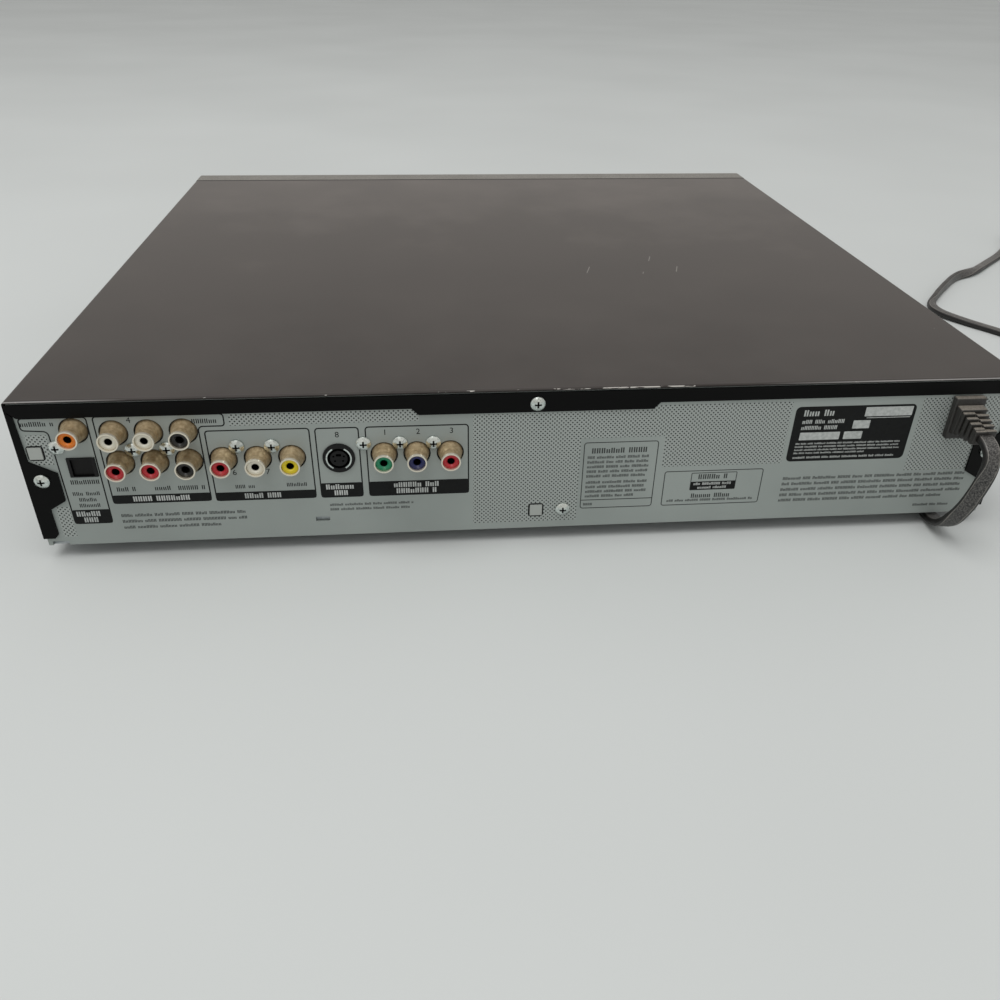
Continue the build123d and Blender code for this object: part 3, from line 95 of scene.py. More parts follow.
# Makes a bmesh a piece of the cabinet
def finishPiece(bm, name, material, smooth=False):
    bmesh.ops.recalc_face_normals(bm, faces=bm.faces)
    mesh = bpy.data.meshes.new(name)
    bm.to_mesh(mesh)
    bm.free()
    for face in mesh.polygons:
        face.use_smooth = smooth
    piece = bpy.data.objects.new(name, mesh)
    bpy.context.scene.collection.objects.link(piece)
    mesh.materials.append(material)
    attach(piece, "cabinet")
    return piece


# Camera
cameraView = {
    "place": (0.047738, 0.529008, 0.233962),  # in metres
    "turn": (57.63557837, -0.84477574, 174.93874452),  # in degrees
    "lens": 31.693,
    "sensor": 36,
    "farEnd": 50,
}
lensData = bpy.data.cameras.new("photoCamera")
lensData.lens = cameraView["lens"]
lensData.sensor_width = cameraView["sensor"]
lensData.clip_end = cameraView["farEnd"]
camera = bpy.data.objects.new("photoCamera", lensData)
camera.location = cameraView["place"]
camera.rotation_euler = [math.radians(angle) for angle in cameraView["turn"]]
bpy.context.scene.collection.objects.link(camera)
bpy.context.scene.camera = camera

# Lead: a flat two-core cord, its coil and the moulded boot; sizes in mm
lead = {
    "width": 7.0,
    "thick": 3.5,
    "low": 1.95,  # its middle where it lies flat
    "corner": 1.1,
    "boot": (-191.5, 200.05, 58.6),  # where the moulded boot starts
    "bootLong": 15.5,
    "drop": 6.0,  # degrees below level
    "straight": 4.0,
    # stands on its edge on the floor: from this y to this, over a ramp, by these degrees
    "onEdge": (-84.0, -176.0, 22.0, 85.0),
    "onEdgePast": -335.0,  # in x
    # twists as it falls: from this height to this, over a ramp, by these degrees
    "twist": (53.0, 6.0, 14.0, 44.0),
    "twistPast": 195.0,  # in y
}
coil = {
    "start": 7.0,  # straight on, before the first turn
    "inner": 27.5,  # radius of the smallest half turn
    "step": 3.8,  # what each half turn is larger by
    "halfTurns": 4,
    "rise": 4.5,
    "perTurn": 12,  # points to a turn
    "tail": 26.0,
    "tailPoints": (0.45, 1.0),  # as shares of the tail
}

dropAngle = math.radians(lead["drop"])
bootX, bootY, bootZ = lead["boot"]
bootWay = (0, math.cos(dropAngle), -math.sin(dropAngle))
leadExit = tuple(p + lead["bootLong"] * w for p, w in zip(lead["boot"], bootWay))
leadStraight = tuple(p + lead["straight"] * w for p, w in zip(leadExit, bootWay))
onFloor = lead["low"]
leadRoute = [
    leadExit, leadStraight,
    (-191.5, 224.6, 52.6), (-191.4, 225.0, 44.5), (-191.2, 222.6, 34.0), (-191.0, 218.6, 22.5),
    (-191.4, 212.0, 12.0), (-192.5, 203.0, 4.6), (-194.5, 190.0, onFloor), (-198.0, 172.0, onFloor),
    (-204.0, 154.0, onFloor), (-218.0, 136.0, onFloor), (-244.0, 124.0, onFloor), (-284.0, 114.0, onFloor),
    (-330.0, 96.0, onFloor), (-366.0, 64.0, onFloor), (-386.0, 20.0, onFloor), (-374.0, -28.0, onFloor),
    (-352.0, -58.0, 2.3), (-338.0, -82.0, 3.6), (-352.0, -104.0, 3.8), (-374.0, -130.0, 3.8),
    (-399.0, -157.0, 3.8), (-421.0, -168.0, 3.4), (-446.0, -192.0, onFloor), (-480.0, -222.0, onFloor),
    (-508.0, -258.0, onFloor),
]


# The coil goes on from the last point by half turns, inwards, up, and out again
def coilPoints():
    last = Vector(leadRoute[-1])
    ahead = (last - Vector(leadRoute[-2])).normalized()
    across = Vector((ahead.y, -ahead.x, 0))
    inward = [coil["inner"] + coil["step"] * (coil["halfTurns"] - k) for k in range(coil["halfTurns"])]
    halves = [(r, 0) for r in inward] + [(coil["inner"], coil["rise"])] + [(r, 0) for r in reversed(inward)]
    stepAngle = 2 * math.pi / coil["perTurn"]
    swell = 4 / (3 + math.cos(stepAngle))  # a quadratic spline runs inside its points by this much
    x, z, side, points = 0.0, 0.0, 1, []
    for radius, climb in halves:
        middle = x + side * radius
        for k in range(coil["perTurn"] // 2):
            turned = stepAngle * (k + 0.5)
            along = side * radius * swell * math.sin(turned)
            sideways = middle - side * radius * swell * math.cos(turned)
            height = z + climb * turned / math.pi
            points.append(last + across * sideways + ahead * (coil["start"] + along) + Vector((0, 0, height)))
        x, z, side = x + side * 2 * radius, z + climb, -side
    for part in coil["tailPoints"]:
        away = coil["start"] + side * coil["tail"] * part
        points.append(last + across * x + ahead * away + Vector((0, 0, z)))
    return [tuple(p) for p in points]


leadPoints = leadRoute + coilPoints()
leadCurve = bpy.data.curves.new("leadLine", "CURVE")
leadCurve.dimensions = "3D"
spline = leadCurve.splines.new("NURBS")
spline.points.add(len(leadPoints) - 1)
for spot, place in zip(spline.points, leadPoints):
    spot.co = (*[c * mm for c in place], 1)
spline.order_u = 3
spline.use_endpoint_u = True
spline.resolution_u = 7
leadLine = bpy.data.objects.new("leadLine", leadCurve)
lineMesh = bpy.data.meshes.new_from_object(leadLine)
leadCentres = [v.co.copy() for v in lineMesh.vertices]
bpy.data.meshes.remove(lineMesh)
bpy.data.objects.remove(leadLine)


# Rounded section of the lead: wide way first, then thick way
def leadSection():
    wide, thick, corner = (lead[k] * mm for k in ("width", "thick", "corner"))
    spots = []
    for cx, cy, first in ((1, 1, 0), (-1, 1, 90), (-1, -1, 180), (1, -1, 270)):
        for k in range(4):  # a quarter round in three steps
            angle = math.radians(first + 30 * k)
            spots.append((cx * (wide / 2 - corner) + corner * math.cos(angle),
                          cy * (thick / 2 - corner) + corner * math.sin(angle)))
    return spots


# How far the lead is turned about its line at one of its centres
def leadRoll(centre):
    x, y, z = [c / mm for c in centre]
    if y > lead["twistPast"]:
        at, (start, end, ramp, most) = z, lead["twist"]
    elif x < lead["onEdgePast"]:
        at, (start, end, ramp, most) = y, lead["onEdge"]
    else:
        return 0.0
    share = max(0.0, min(1.0, (start - at) / ramp, (at - end) / ramp))
    return math.radians(most) * share * share * (3 - 2 * share)


# The lead's section carried along its centres, with a UV map of turn and length
def leadMesh():
    bm = bmesh.new()
    uvLayer = bm.loops.layers.uv.new("alongLead")
    section = leadSection()
    sideWay, rings, run, runs = Vector((1, 0, 0)), [], 0.0, []
    for i, centre in enumerate(leadCentres):
        before = leadCentres[max(i - 1, 0)]
        after = leadCentres[min(i + 1, len(leadCentres) - 1)]
        heading = (after - before).normalized()
        level = Vector((0, 0, 1)).cross(heading)
        sideWay = sideWay - heading * sideWay.dot(heading)
        sideWay.normalize()
        if level.length > 0.3:  # where the line isn't near upright, the broad way settles level
            level = level.normalized() * (1 if level.dot(sideWay) >= 0 else -1)
            sideWay = sideWay.lerp(level, 0.5).normalized()
        upWay = heading.cross(sideWay)
        if i:
            run += (centre - leadCentres[i - 1]).length
        runs.append(run)
        rolled = Matrix.Rotation(leadRoll(centre), 3, heading)
        rings.append([bm.verts.new(centre + rolled @ (sideWay * a + upWay * b)) for a, b in section])
    count = len(section)
    for i, (one, two) in enumerate(zip(rings, rings[1:])):
        for k in range(count):
            face = bm.faces.new((one[k], one[(k + 1) % count], two[(k + 1) % count], two[k]))
            spans = ((i, k), (i, k + 1), (i + 1, k + 1), (i + 1, k))
            for loop, (ring, turn) in zip(face.loops, spans):
                loop[uvLayer].uv = (turn / count, runs[ring])
    bm.faces.new(rings[0])
    bm.faces.new(list(reversed(rings[-1])))
    return bm


grained = {
    "clouds": 40.0,  # mm between slow changes of tone
    "ramp": (0.38, 0.62),
    "glossSpread": 0.06,
    "relief": 0.2,  # height of the grain as a share of its size
    "dustAndSheenFrom": 0.45, "dustAndSheenFull": 0.95, "dustAndSheenMost": 1.36,  # by how far a face looks up
}


# A surface of two near tones in fine grain; grain is the size of its speckles in mm, dust the tone laid on
# its upward faces, partly dust that has settled there and partly painted light where they face up
def grainedSurface(name, dark, light, roughness, grain, bump=0.2, dustAndSheen=None, **sockets):
    material = newMaterial(name)
    where = (addNode(material, "TexCoord"), "Object")
    speckle = addNode(material, "TexNoise", {"Vector": where, "Scale": 1 / (grain * mm), "Detail": 3.0})
    cloud = addNode(material, "TexNoise", {"Vector": where, "Scale": 1 / (grained["clouds"] * mm),
                                           "Detail": 2.0})
    both = addNode(material, "Math", {0: speckle, 1: cloud}, operation="ADD")
    half = addNode(material, "Math", {0: both, 1: 0.5}, operation="MULTIPLY")
    low, high = grained["ramp"]
    tone = addNode(material, "ValToRGB", {"Fac": half}, stops=[(low, dark), (high, light)])
    gloss = addNode(material, "MapRange", {
        "Value": cloud, "From Min": 0.3, "From Max": 0.7,
        "To Min": roughness - grained["glossSpread"], "To Max": roughness + grained["glossSpread"]})
    raised = addNode(material, "Bump", {"Height": speckle, "Strength": bump,
                                        "Distance": grain * mm * grained["relief"]})
    colour = (tone, "Color")
    # the tone on upward faces is partly dust and partly painted light falling on them
    if dustAndSheen:
        facing = addNode(material, "NewGeometry")
        upward = addNode(material, "SeparateXYZ", {0: (facing, "Normal")})
        lying = addNode(material, "MapRange", {
            "Value": (upward, "Z"), "From Min": grained["dustAndSheenFrom"], "From Max": grained["dustAndSheenFull"],
            "To Max": grained["dustAndSheenMost"]})
        film = addNode(material, "Math", {0: lying, 1: speckle}, operation="MULTIPLY", use_clamp=True)
        dustedAndLit = addNode(material, "Mix", {0: film, 6: colour, 7: hexColour(dustAndSheen)}, data_type="RGBA")
        colour = (dustedAndLit, 2)
    setShader(material, {"Base Color": colour, "Roughness": gloss, "Normal": raised, **sockets})
    return material


# Extruded PVC of the lead: speckled grey-brown on its broad faces, with a pale line along their edges, partly
# rubbed and partly a painted highlight, and painted shade on the narrow sides
def leadSurface():
    pvc = {
        "speckle": 0.625, "patches": 11.11,  # mm
        # side is the painted shade of the narrow sides; edge is the pale line, partly rubbed and partly a
        # painted highlight
        "broad": [(0.38, "#1d1d1d"), (0.66, "#62605d")], "side": "#1b1a19", "edge": "#98948c",
        # from 0 to 1 round each half of the section: white where it is a side, which gets painted shade, and
        # where an edge line runs, the painted highlight
        "shadedSides": [(0.24, "#ffffff"), (0.3, "#000000"), (0.575, "#000000"), (0.635, "#ffffff")],
        "edges": [(0.27, "#000000"), (0.32, "#ffffff"), (0.375, "#000000"), (0.5, "#000000"),
                  (0.555, "#ffffff"), (0.605, "#000000")],
    }
    material = newMaterial("extrudedPvcLead")
    coords = addNode(material, "TexCoord")
    where = (coords, "Object")
    around = addNode(material, "SeparateXYZ", {0: (coords, "UV")})
    twice = addNode(material, "Math", {0: (around, "X"), 1: 2.0}, operation="MULTIPLY")
    turn = addNode(material, "Math", {0: twice}, operation="FRACT")
    speckle = addNode(material, "TexNoise", {"Vector": where, "Scale": 1 / (pvc["speckle"] * mm),
                                             "Detail": 2.0})
    wornAndLit = addNode(material, "TexNoise", {"Vector": where, "Scale": 1 / (pvc["patches"] * mm), "Detail": 3.0})
    broad = addNode(material, "ValToRGB", {"Fac": speckle}, stops=pvc["broad"])
    side = addNode(material, "ValToRGB", {"Fac": turn}, stops=pvc["shadedSides"])
    # painted shade on the narrow sides
    sideShade = addNode(material, "Mix", {0: (side, "Color"), 6: (broad, "Color"), 7: hexColour(pvc["side"])},
                     data_type="RGBA")
    edge = addNode(material, "ValToRGB", {"Fac": turn}, stops=pvc["edges"])
    rubbedAndLit = addNode(material, "MapRange", {"Value": wornAndLit, "From Min": 0.35, "From Max": 0.6,
                                            "To Min": 0.25, "To Max": 0.75})
    # the pale edge line in patches: partly rubbed PVC, partly a painted highlight
    line = addNode(material, "Math", {0: (edge, "Color"), 1: rubbedAndLit}, operation="MULTIPLY")
    highlightedLead = addNode(material, "Mix", {0: line, 6: (sideShade, 2), 7: hexColour(pvc["edge"])}, data_type="RGBA")
    gloss = addNode(material, "MapRange", {"Value": wornAndLit, "From Min": 0.3, "From Max": 0.7,
                                           "To Min": 0.38, "To Max": 0.5})
    raised = addNode(material, "Bump", {"Height": speckle, "Strength": 0.35, "Distance": 0.2 * mm})
    setShader(material, {"Base Color": (highlightedLead, 2), "Roughness": gloss, "Normal": raised})
    return material


leadSkin = leadSurface()
# Moulded PVC of boot and plug: near black with a fine matt grain, paler where it faces up, partly dust and
# partly a painted highlight
bootPvc = grainedSurface("mouldedPvcBoot", "#161514", "#34322f", 0.42, 0.6, bump=0.35, dustAndSheen="#878177")


# A box with rounded edges, in mm
def addBlock(bm, centre, size, bevel=0.0, segments=2):
    made = bmesh.ops.create_cube(bm, size=1.0)["verts"]
    bmesh.ops.scale(bm, vec=[s * mm for s in size], verts=made)
    if bevel:
        edges = list({e for v in made for e in v.link_edges})
        rounded = bmesh.ops.bevel(bm, geom=edges, offset=bevel * mm, affect="EDGES", segments=segments,
                                  profile=0.5, material=-1, clamp_overlap=True)
        made = list({v for f in rounded["faces"] for v in f.verts})
    bmesh.ops.translate(bm, vec=[c * mm for c in centre], verts=made)


boot = {
    "base": (12.2, 13.4),  # width and height at the panel
    "tip": (9.4, 6.8),
    "behind": 1.0,  # collar and core reach this far back into the flange
    "collar": 3.2, "collarEdge": 0.7, "end": 1.8, "endEdge": 0.6,
    "core": 2.6, "coreEdge": 0.8,  # the core is thinner than the ribs by this
    "ribs": 4, "rib": 0.62, "ribEdge": 0.55,  # a rib takes this share of the pitch
    "shifts": ((-1, 0.72), (1, 0.3)),  # side, and where its ribs stand in the pitch
    "flange": (14.0, 20.0, 3.3), "flangeEdge": 0.7,
    "inside": (9.4, 15.4, 4.4), "insideEdge": 0.2,  # in the panel's hole, up into the flange by its edge
}


# Strain relief: a solid collar, then ribs left and right in turn on a thinner core, and a plate behind
def bootMesh():
    bm = bmesh.new()
    long, collar, behind = lead["bootLong"], boot["collar"], boot["behind"]
    (baseWide, baseTall), (tipWide, tipTall) = boot["base"], boot["tip"]
    core = bmesh.ops.create_cube(bm, size=1.0)["verts"]
    for v in core:
        near = v.co.y < 0
        wide, tall = boot["base"] if near else boot["tip"]
        along = -behind if near else long
        v.co = Vector((v.co.x * (wide - boot["core"]), along, v.co.z * (tall - boot["core"]))) * mm
    edges = list({e for v in core for e in v.link_edges})
    bmesh.ops.bevel(bm, geom=edges, offset=boot["coreEdge"] * mm, affect="EDGES", segments=2, profile=0.5,
                    material=-1)
    addBlock(bm, (0, (collar - behind) / 2, 0), (baseWide, collar + behind, baseTall), boot["collarEdge"])
    pitch = (long - collar) / boot["ribs"]
    for k in range(boot["ribs"]):
        for side, shift in boot["shifts"]:
            along = collar + pitch * (k + shift)
            share = along / long
            wide = baseWide + (tipWide - baseWide) * share
            tall = baseTall + (tipTall - baseTall) * share
            addBlock(bm, (side * wide / 4, along, 0), (wide / 2, pitch * boot["rib"], tall), boot["ribEdge"])
    addBlock(bm, (0, long - boot["end"] / 2, 0), (tipWide, boot["end"], tipTall), boot["endEdge"])
    turn = Matrix.Rotation(-dropAngle, 4, "X")
    turn.translation = Vector((bootX, bootY, bootZ)) * mm
    bmesh.ops.transform(bm, matrix=turn, verts=bm.verts)
    wide, tall, deep = boot["flange"]
    addBlock(bm, (bootX, panelY + deep / 2, bootZ), (wide, deep, tall), boot["flangeEdge"], 3)
    wide, tall, deep = boot["inside"]
    addBlock(bm, (bootX, panelY - deep / 2 + boot["insideEdge"], bootZ), (wide, deep, tall),
             boot["insideEdge"], 1)
    return bm


leadPiece = finishPiece(leadMesh(), "flatLead", leadSkin, smooth=True)
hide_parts("power_cord", "cord_coil")
bootPiece = finishPiece(bootMesh(), "leadBoot", bootPvc)
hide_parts("cord_gland")
print("lead and boot done")

# Print on the rear panel
ink = {
    "proud": 0.03, "line": 0.55, "corner": 1.6, "fine": 0.4,
    "barLift": 0.003, "wordLift": 0.035, "fieldLift": 0.032,  # what lies on black ink stands over it
}
# Strokes that stand for letters, as shares of their height, and how many letters a word has
strokes = {
    "pitch": 0.82, "gap": 0.6, "wide": 0.24, "second": 0.38, "low": 0.76,
    "first": (3, 8), "word": (3, 9),
}


# A flat face of ink with these corners in mm, rounded where asked
def inkFace(bm, corners, lift=0.0, radius=0.0):
    y = panelY + lift + ink["proud"]
    spots = [bm.verts.new((x * mm, y * mm, z * mm)) for x, z in reversed(corners)]
    face = bm.faces.new(spots)
    if radius:
        spots = bmesh.ops.bevel(bm, geom=spots, offset=radius * mm, affect="VERTICES", segments=4,
                                profile=0.5, material=-1)["verts"]
        face = spots[0].link_faces[0]
    face.normal_update()
    return face


# A closed line of ink round these corners
def inkOutline(bm, corners, line, radius):
    face = inkFace(bm, corners, 0.0, radius)
    bmesh.ops.inset_region(bm, faces=[face], thickness=line * mm, use_boundary=True, use_even_offset=True)
    bmesh.ops.delete(bm, geom=[face], context="FACES_ONLY")


# A row of short upright strokes that stands for words, two strokes to a letter
def inkWords(bm, xFrom, xTo, z, tall, seed, lift=0.0, stroke=strokes["wide"]):
    draw = random.Random(seed)
    x, left = max(xFrom, xTo), draw.randint(*strokes["first"])
    while x - strokes["gap"] * tall > min(xFrom, xTo):
        if not left:
            left = draw.randint(*strokes["word"])
            x -= strokes["gap"] * tall
            continue
        high = tall * draw.choice((1, 1, strokes["low"]))
        for start in (0.0, strokes["second"]):
            inkFace(bm, boxCorners(x - (start + stroke) * tall, x - start * tall, z, z + high), lift)
        left -= 1
        x -= strokes["pitch"] * tall


# Gives the faces their thickness, towards the panel
def finishInk(bm, name, material):
    bmesh.ops.solidify(bm, geom=bm.faces[:], thickness=ink["proud"] * mm)
    return finishPiece(bm, name, material)


# Corners of an upright box on the panel
def boxCorners(x0, x1, z0, z1):
    return [(x0, z0), (x1, z0), (x1, z1), (x0, z1)]


# Silk-screened ink: flat black, the panel's pale grey, and the thinner black of the small print
blackInk = grainedSurface("screenInkBlack", "#060707", "#0f1111", 0.45, 1.4, bump=0.05, IOR=1.28)
paleInk = grainedSurface("screenInkPale", "#9fa3a0", "#c2c5c2", 0.5, 1.4, bump=0.05)
greyInk = grainedSurface("screenInkGrey", "#1f2221", "#363a38", 0.5, 0.8, bump=0.05)

# Frames round the groups of jacks, each with a bar and the rows of words on it
frames = {
    "digital": {
        "corners": [(184.2, 17.6), (200.4, 17.6), (200.9, 62.7), (211.2, 63.4), (211.2, 69.3), (184.2, 69.3)],
        "bar": (184.2, 200.4, 17.6, 24.8), "words": [(186, 198.6, 21.5), (188.5, 196, 18.4)],
    },
    "channels": {
        "corners": [(140.6, 27.2), (182.2, 27.2), (182.2, 69.3), (129.8, 69.3), (129.8, 63.2), (140.6, 63.2)],
        "bar": (140.6, 182.2, 27.2, 31.5), "words": [(149, 173.5, 28.2)],
    },
    "line": {"corners": boxCorners(95.8, 138.9, 26.9, 61.5),
             "bar": (95.8, 138.9, 26.9, 31.2), "words": [(109.5, 126.5, 27.9)]},
    "video": {"corners": boxCorners(75.4, 93.9, 26.8, 61.3),
              "bar": (75.4, 93.9, 26.8, 34.2), "words": [(78, 91.4, 31.0), (81.2, 88, 27.9)]},
    "component": {"corners": boxCorners(29.0, 73.0, 26.8, 61.3),
                  "bar": (29.0, 73.0, 26.8, 34.2), "words": [(41, 62, 31.0), (42.5, 61, 27.9)]},
}
bar = {"inset": 0.1, "corner": 0.9, "tall": 2.5, "stroke": 0.26}
black = bmesh.new()
pale = bmesh.new()
for title, frameOf in frames.items():
    inkOutline(black, frameOf["corners"], ink["line"], ink["corner"])
    x0, x1, z0, z1 = frameOf["bar"]
    inner = boxCorners(x0 + bar["inset"], x1 - bar["inset"], z0 + bar["inset"], z1)
    inkFace(black, inner, ink["barLift"], bar["corner"])
    for n, (a, b, z) in enumerate(frameOf["words"]):
        inkWords(pale, a, b, z, bar["tall"], len(title) + n, ink["wordLift"], bar["stroke"])

# Short words beside the jacks: x from and to, z, height
beside = [
    (197.4, 210.6, 65.4, 2.1), (131.5, 143.0, 64.9, 2.1), (184.7, 197.3, 37.6, 2.1),
    (170.5, 179.3, 33.4, 2.1), (156, 163.5, 33.4, 2.1), (141.8, 153.8, 33.2, 2.1), (186.2, 197.8, 32.0, 1.8),
    (188, 195.8, 29.0, 1.8), (187.7, 196.3, 26.1, 1.8), (121, 129.8, 33.0, 1.8), (99.5, 108, 33.2, 1.8),
]
for n, (a, b, z, tall) in enumerate(beside):
    inkWords(black, a, b, z, tall, 40 + n, stroke=0.2)

# A dark bar with two rows of pale strokes in the small frame on the -X side
smallBar = {
    "box": (-92.4, -71.6, 24.3, 28.6), "tall": 1.3,
    "rows": [(-73.0, -91.0, 26.8), (-75.0, -89.0, 24.8)],
}
inkFace(black, boxCorners(*smallBar["box"]))
for n, (a, b, z) in enumerate(smallBar["rows"]):
    inkWords(pale, a, b, z, smallBar["tall"], 91 + n, ink["fieldLift"])

# A thin dark gap round the two stamped pads of the panel
pads = {"gap": 0.75, "corner": 1.4, "half": 3.5, "places": [(207.85, 53.05), (-1.15, 16.55)]}
half = pads["half"]
for x, z in pads["places"]:
    inkOutline(black, boxCorners(x - half, x + half, z - half, z + half), pads["gap"], pads["corner"])
finishInk(black, "panelPrintBlack", blackInk)
finishInk(pale, "panelPrintPale", paleInk)

# Plain numbers over and under the jacks
numbers = {
    "tall": 2.6,
    "digit": 0.7,  # height of a digit as a share of the font's size
    "places": [
        (64.6, 57.1, "1"), (50.6, 57.1, "2"), (36.4, 57.1, "3"), (168.0, 66.0, "4"),
        (163.4, 44.6, "5"), (129.2, 39.8, "6"), (115.2, 39.8, "7"), (84.7, 56.6, "8"),
    ],
}
digits = bmesh.new()
for x, z, sign in numbers["places"]:
    textCurve = bpy.data.curves.new("number" + sign, "FONT")
    textCurve.body = sign
    textCurve.size = numbers["tall"] * mm / numbers["digit"]
    textCurve.align_x = "CENTER"
    textCurve.extrude = ink["proud"] * mm / 2
    textObject = bpy.data.objects.new("number" + sign, textCurve)
    shape = bpy.data.meshes.new_from_object(textObject)
    upright = Matrix.Rotation(math.pi, 4, "Z") @ Matrix.Rotation(math.pi / 2, 4, "X")
    upright.translation = Vector((x, panelY + ink["proud"] / 2, z)) * mm
    shape.transform(upright)
    digits.from_mesh(shape)
    bpy.data.meshes.remove(shape)
    bpy.data.objects.remove(textObject)
finishPiece(digits, "panelNumbers", blackInk)

# Small print: rows of fine strokes; last is the share of the width that the last row fills
smallRows = [
    {"x": (180.2, 127.0), "z": (20.4, 17.4, 14.3), "tall": 1.5, "last": 0.8},
    {"x": (90.5, 53.5), "z": (22.4, 20.0), "tall": 1.2, "last": 0.95},
    {"x": (-114.6, -202.0), "z": (27.9, 25.0, 22.0, 19.1, 16.2), "tall": 1.5, "last": 0.91},
    {"x": (-181.2, -198.8), "z": (11.1,), "tall": 1.3},
    {"x": (-23.3, -51.4), "tall": 1.35, "last": 0.82,
     "z": (42.2, 39.8, 37.4, 35.0, 32.6, 29.4, 27.0, 24.6, 22.2)},
    {"x": (-22.8, -27.6), "z": (17.9,), "tall": 1.3},
    {"x": (-61.5, -102.5), "z": (18.2,), "tall": 1.25},
]
headings = [(-25.0, -50.9, 44.9, 2.6), (-74.8, -89.1, 29.9, 2.5), (-72.6, -91.0, 20.0, 2.3)]
thinFrames = [  # x from and to, z from and to, line, corner
    (-92.6, -71.4, 24.1, 33.3, 0.35, 0.5), (-54.6, -21.3, 16.3, 50.5, ink["fine"], 1.4),
    (-104.7, -58.9, 16.3, 34.5, ink["fine"], 1.2),
]
frameRule = (-54.4, -21.5, 20.6, 20.6 + ink["fine"])
fine = bmesh.new()
for n, rows in enumerate(smallRows):
    for k, z in enumerate(rows["z"]):
        start, end = rows["x"]
        if k == len(rows["z"]) - 1:
            end = start + (end - start) * rows.get("last", 1.0)
        inkWords(fine, start, end, z, rows["tall"], 100 + 10 * n + k)
for n, (a, b, z, tall) in enumerate(headings):
    inkWords(fine, a, b, z, tall, 171 + n)
for x0, x1, z0, z1, line, corner in thinFrames:
    inkOutline(fine, boxCorners(x0, x1, z0, z1), line, corner)
inkFace(fine, boxCorners(*frameRule))
finishInk(fine, "panelSmallPrint", greyInk)

# Rating plate: a black rounded sticker with bare pale fields and rows of strokes
plate = {
    "box": (-169.0, -114.0, 37.6, 65.0), "corner": 2.2, "fieldCorner": 0.3,
    "fields": [
        (-167.5, -145.8, 59.5, 64.0), (-149.2, -141.4, 53.6, 57.6),
        (-136.4, -118.0, 48.4, 52.2), (-146.8, -138.3, 48.4, 52.2),
    ],
    "rows": [
        (-118.0, -133.5, 60.3, 3.0), (-118.0, -138.5, 56.6, 1.9), (-118.0, -135.5, 53.6, 1.9),
        (-117.0, -166.0, 46.2, 0.8), (-117.0, -166.0, 44.6, 0.8), (-117.0, -166.0, 43.0, 0.8),
        (-117.0, -150.0, 41.4, 0.8), (-117.0, -165.0, 39.0, 1.0),
    ],
    "rule": (-167.0, -147.0, 58.6, 58.9),
}
plateBm = bmesh.new()
inkFace(plateBm, boxCorners(*plate["box"]), 0.0, plate["corner"])
finishInk(plateBm, "ratingPlate", blackInk)
fieldsBm = bmesh.new()
for field in plate["fields"]:
    inkFace(fieldsBm, boxCorners(*field), ink["fieldLift"], plate["fieldCorner"])
for n, (a, b, z, tall) in enumerate(plate["rows"]):
    inkWords(fieldsBm, a, b, z, tall, 200 + n, ink["fieldLift"])
inkFace(fieldsBm, boxCorners(*plate["rule"]), ink["fieldLift"])
finishInk(fieldsBm, "ratingPlateFields", paleInk)
print("print on the panel done")

# Round video jack: two bright arcs of its metal shield round the moulded face
shield = {
    "place": (84.7, 46.7), "radius": 5.2, "wall": 0.3, "out": (0.3, 1.05), "steps": 20,
    "arcs": ((-62, 122), (120, 122)),  # start and sweep in degrees, from the -X side upwards
}
shieldBm = bmesh.new()
low, high = [panelY + out for out in shield["out"]]
inner, outer = shield["radius"] - shield["wall"], shield["radius"] + shield["wall"]
for start, sweep in shield["arcs"]:
    corners = ((inner, low), (outer, low), (outer, high), (inner, high))
    spots = [shieldBm.verts.new((x * mm, y * mm, 0)) for x, y in corners]
    face = shieldBm.faces.new(spots)
    turned = Matrix.Rotation(math.radians(start), 3, "Y")
    bmesh.ops.rotate(shieldBm, cent=(0, 0, 0), matrix=turned, verts=spots)
    bmesh.ops.spin(shieldBm, geom=[face, *face.edges, *spots], cent=(0, 0, 0), axis=(0, 1, 0),
                   dvec=(0, 0, 0), angle=math.radians(sweep), steps=shield["steps"])
sx, sz = shield["place"]
bmesh.ops.translate(shieldBm, vec=Vector((sx, 0, sz)) * mm, verts=shieldBm.verts)

# Screw crosses: near-black plates at the bottom of each recess, painted shade of the recess
cross = {
    "arm": 3.0, "wide": 0.8, "thick": 0.3, "top": 1.72,
    "jack": [
        (199.0, 55.6), (168.8, 53.6), (154.9, 53.7), (126.6, 53.8), (112.1, 53.6), (73.9, 53.5),
        (58.4, 53.3), (44.2, 53.0), (-13.3, 16.8),
    ],
    "cover": [(0.0, 70.5), (208.1, 40.4), (-208.1, 40.4)],
    "coverSheet": 0.9,  # these stand on the cover's own sheet
}
crossBm = bmesh.new()
for screws, onSheet in (("jack", 0.0), ("cover", cross["coverSheet"])):
    for x, z in cross[screws]:
        y = panelY + onSheet + cross["top"] - cross["thick"] / 2
        addBlock(crossBm, (x, y, z), (cross["arm"], cross["thick"], cross["wide"]))
        addBlock(crossBm, (x, y, z), (cross["wide"], cross["thick"], cross["arm"]))
print("shield and screw crosses done")

# Finishes

# A mask over patches of a piece: the middle and reach of each on two of its axes, in mm
def patchMask(material, axes, first, second, patches):
    mask = None
    for middle, reach, middleToo, reachToo in patches:
        one = addNode(material, "Math", {0: (axes, first), 1: middle * mm, 2: reach * mm},
                      operation="COMPARE")
        two = addNode(material, "Math", {0: (axes, second), 1: middleToo * mm, 2: reachToo * mm},
                      operation="COMPARE")
        patch = addNode(material, "Math", {0: one, 1: two}, operation="MULTIPLY")
        if mask:
            patch = addNode(material, "Math", {0: mask, 1: patch}, operation="MAXIMUM")
        mask = patch
    return mask


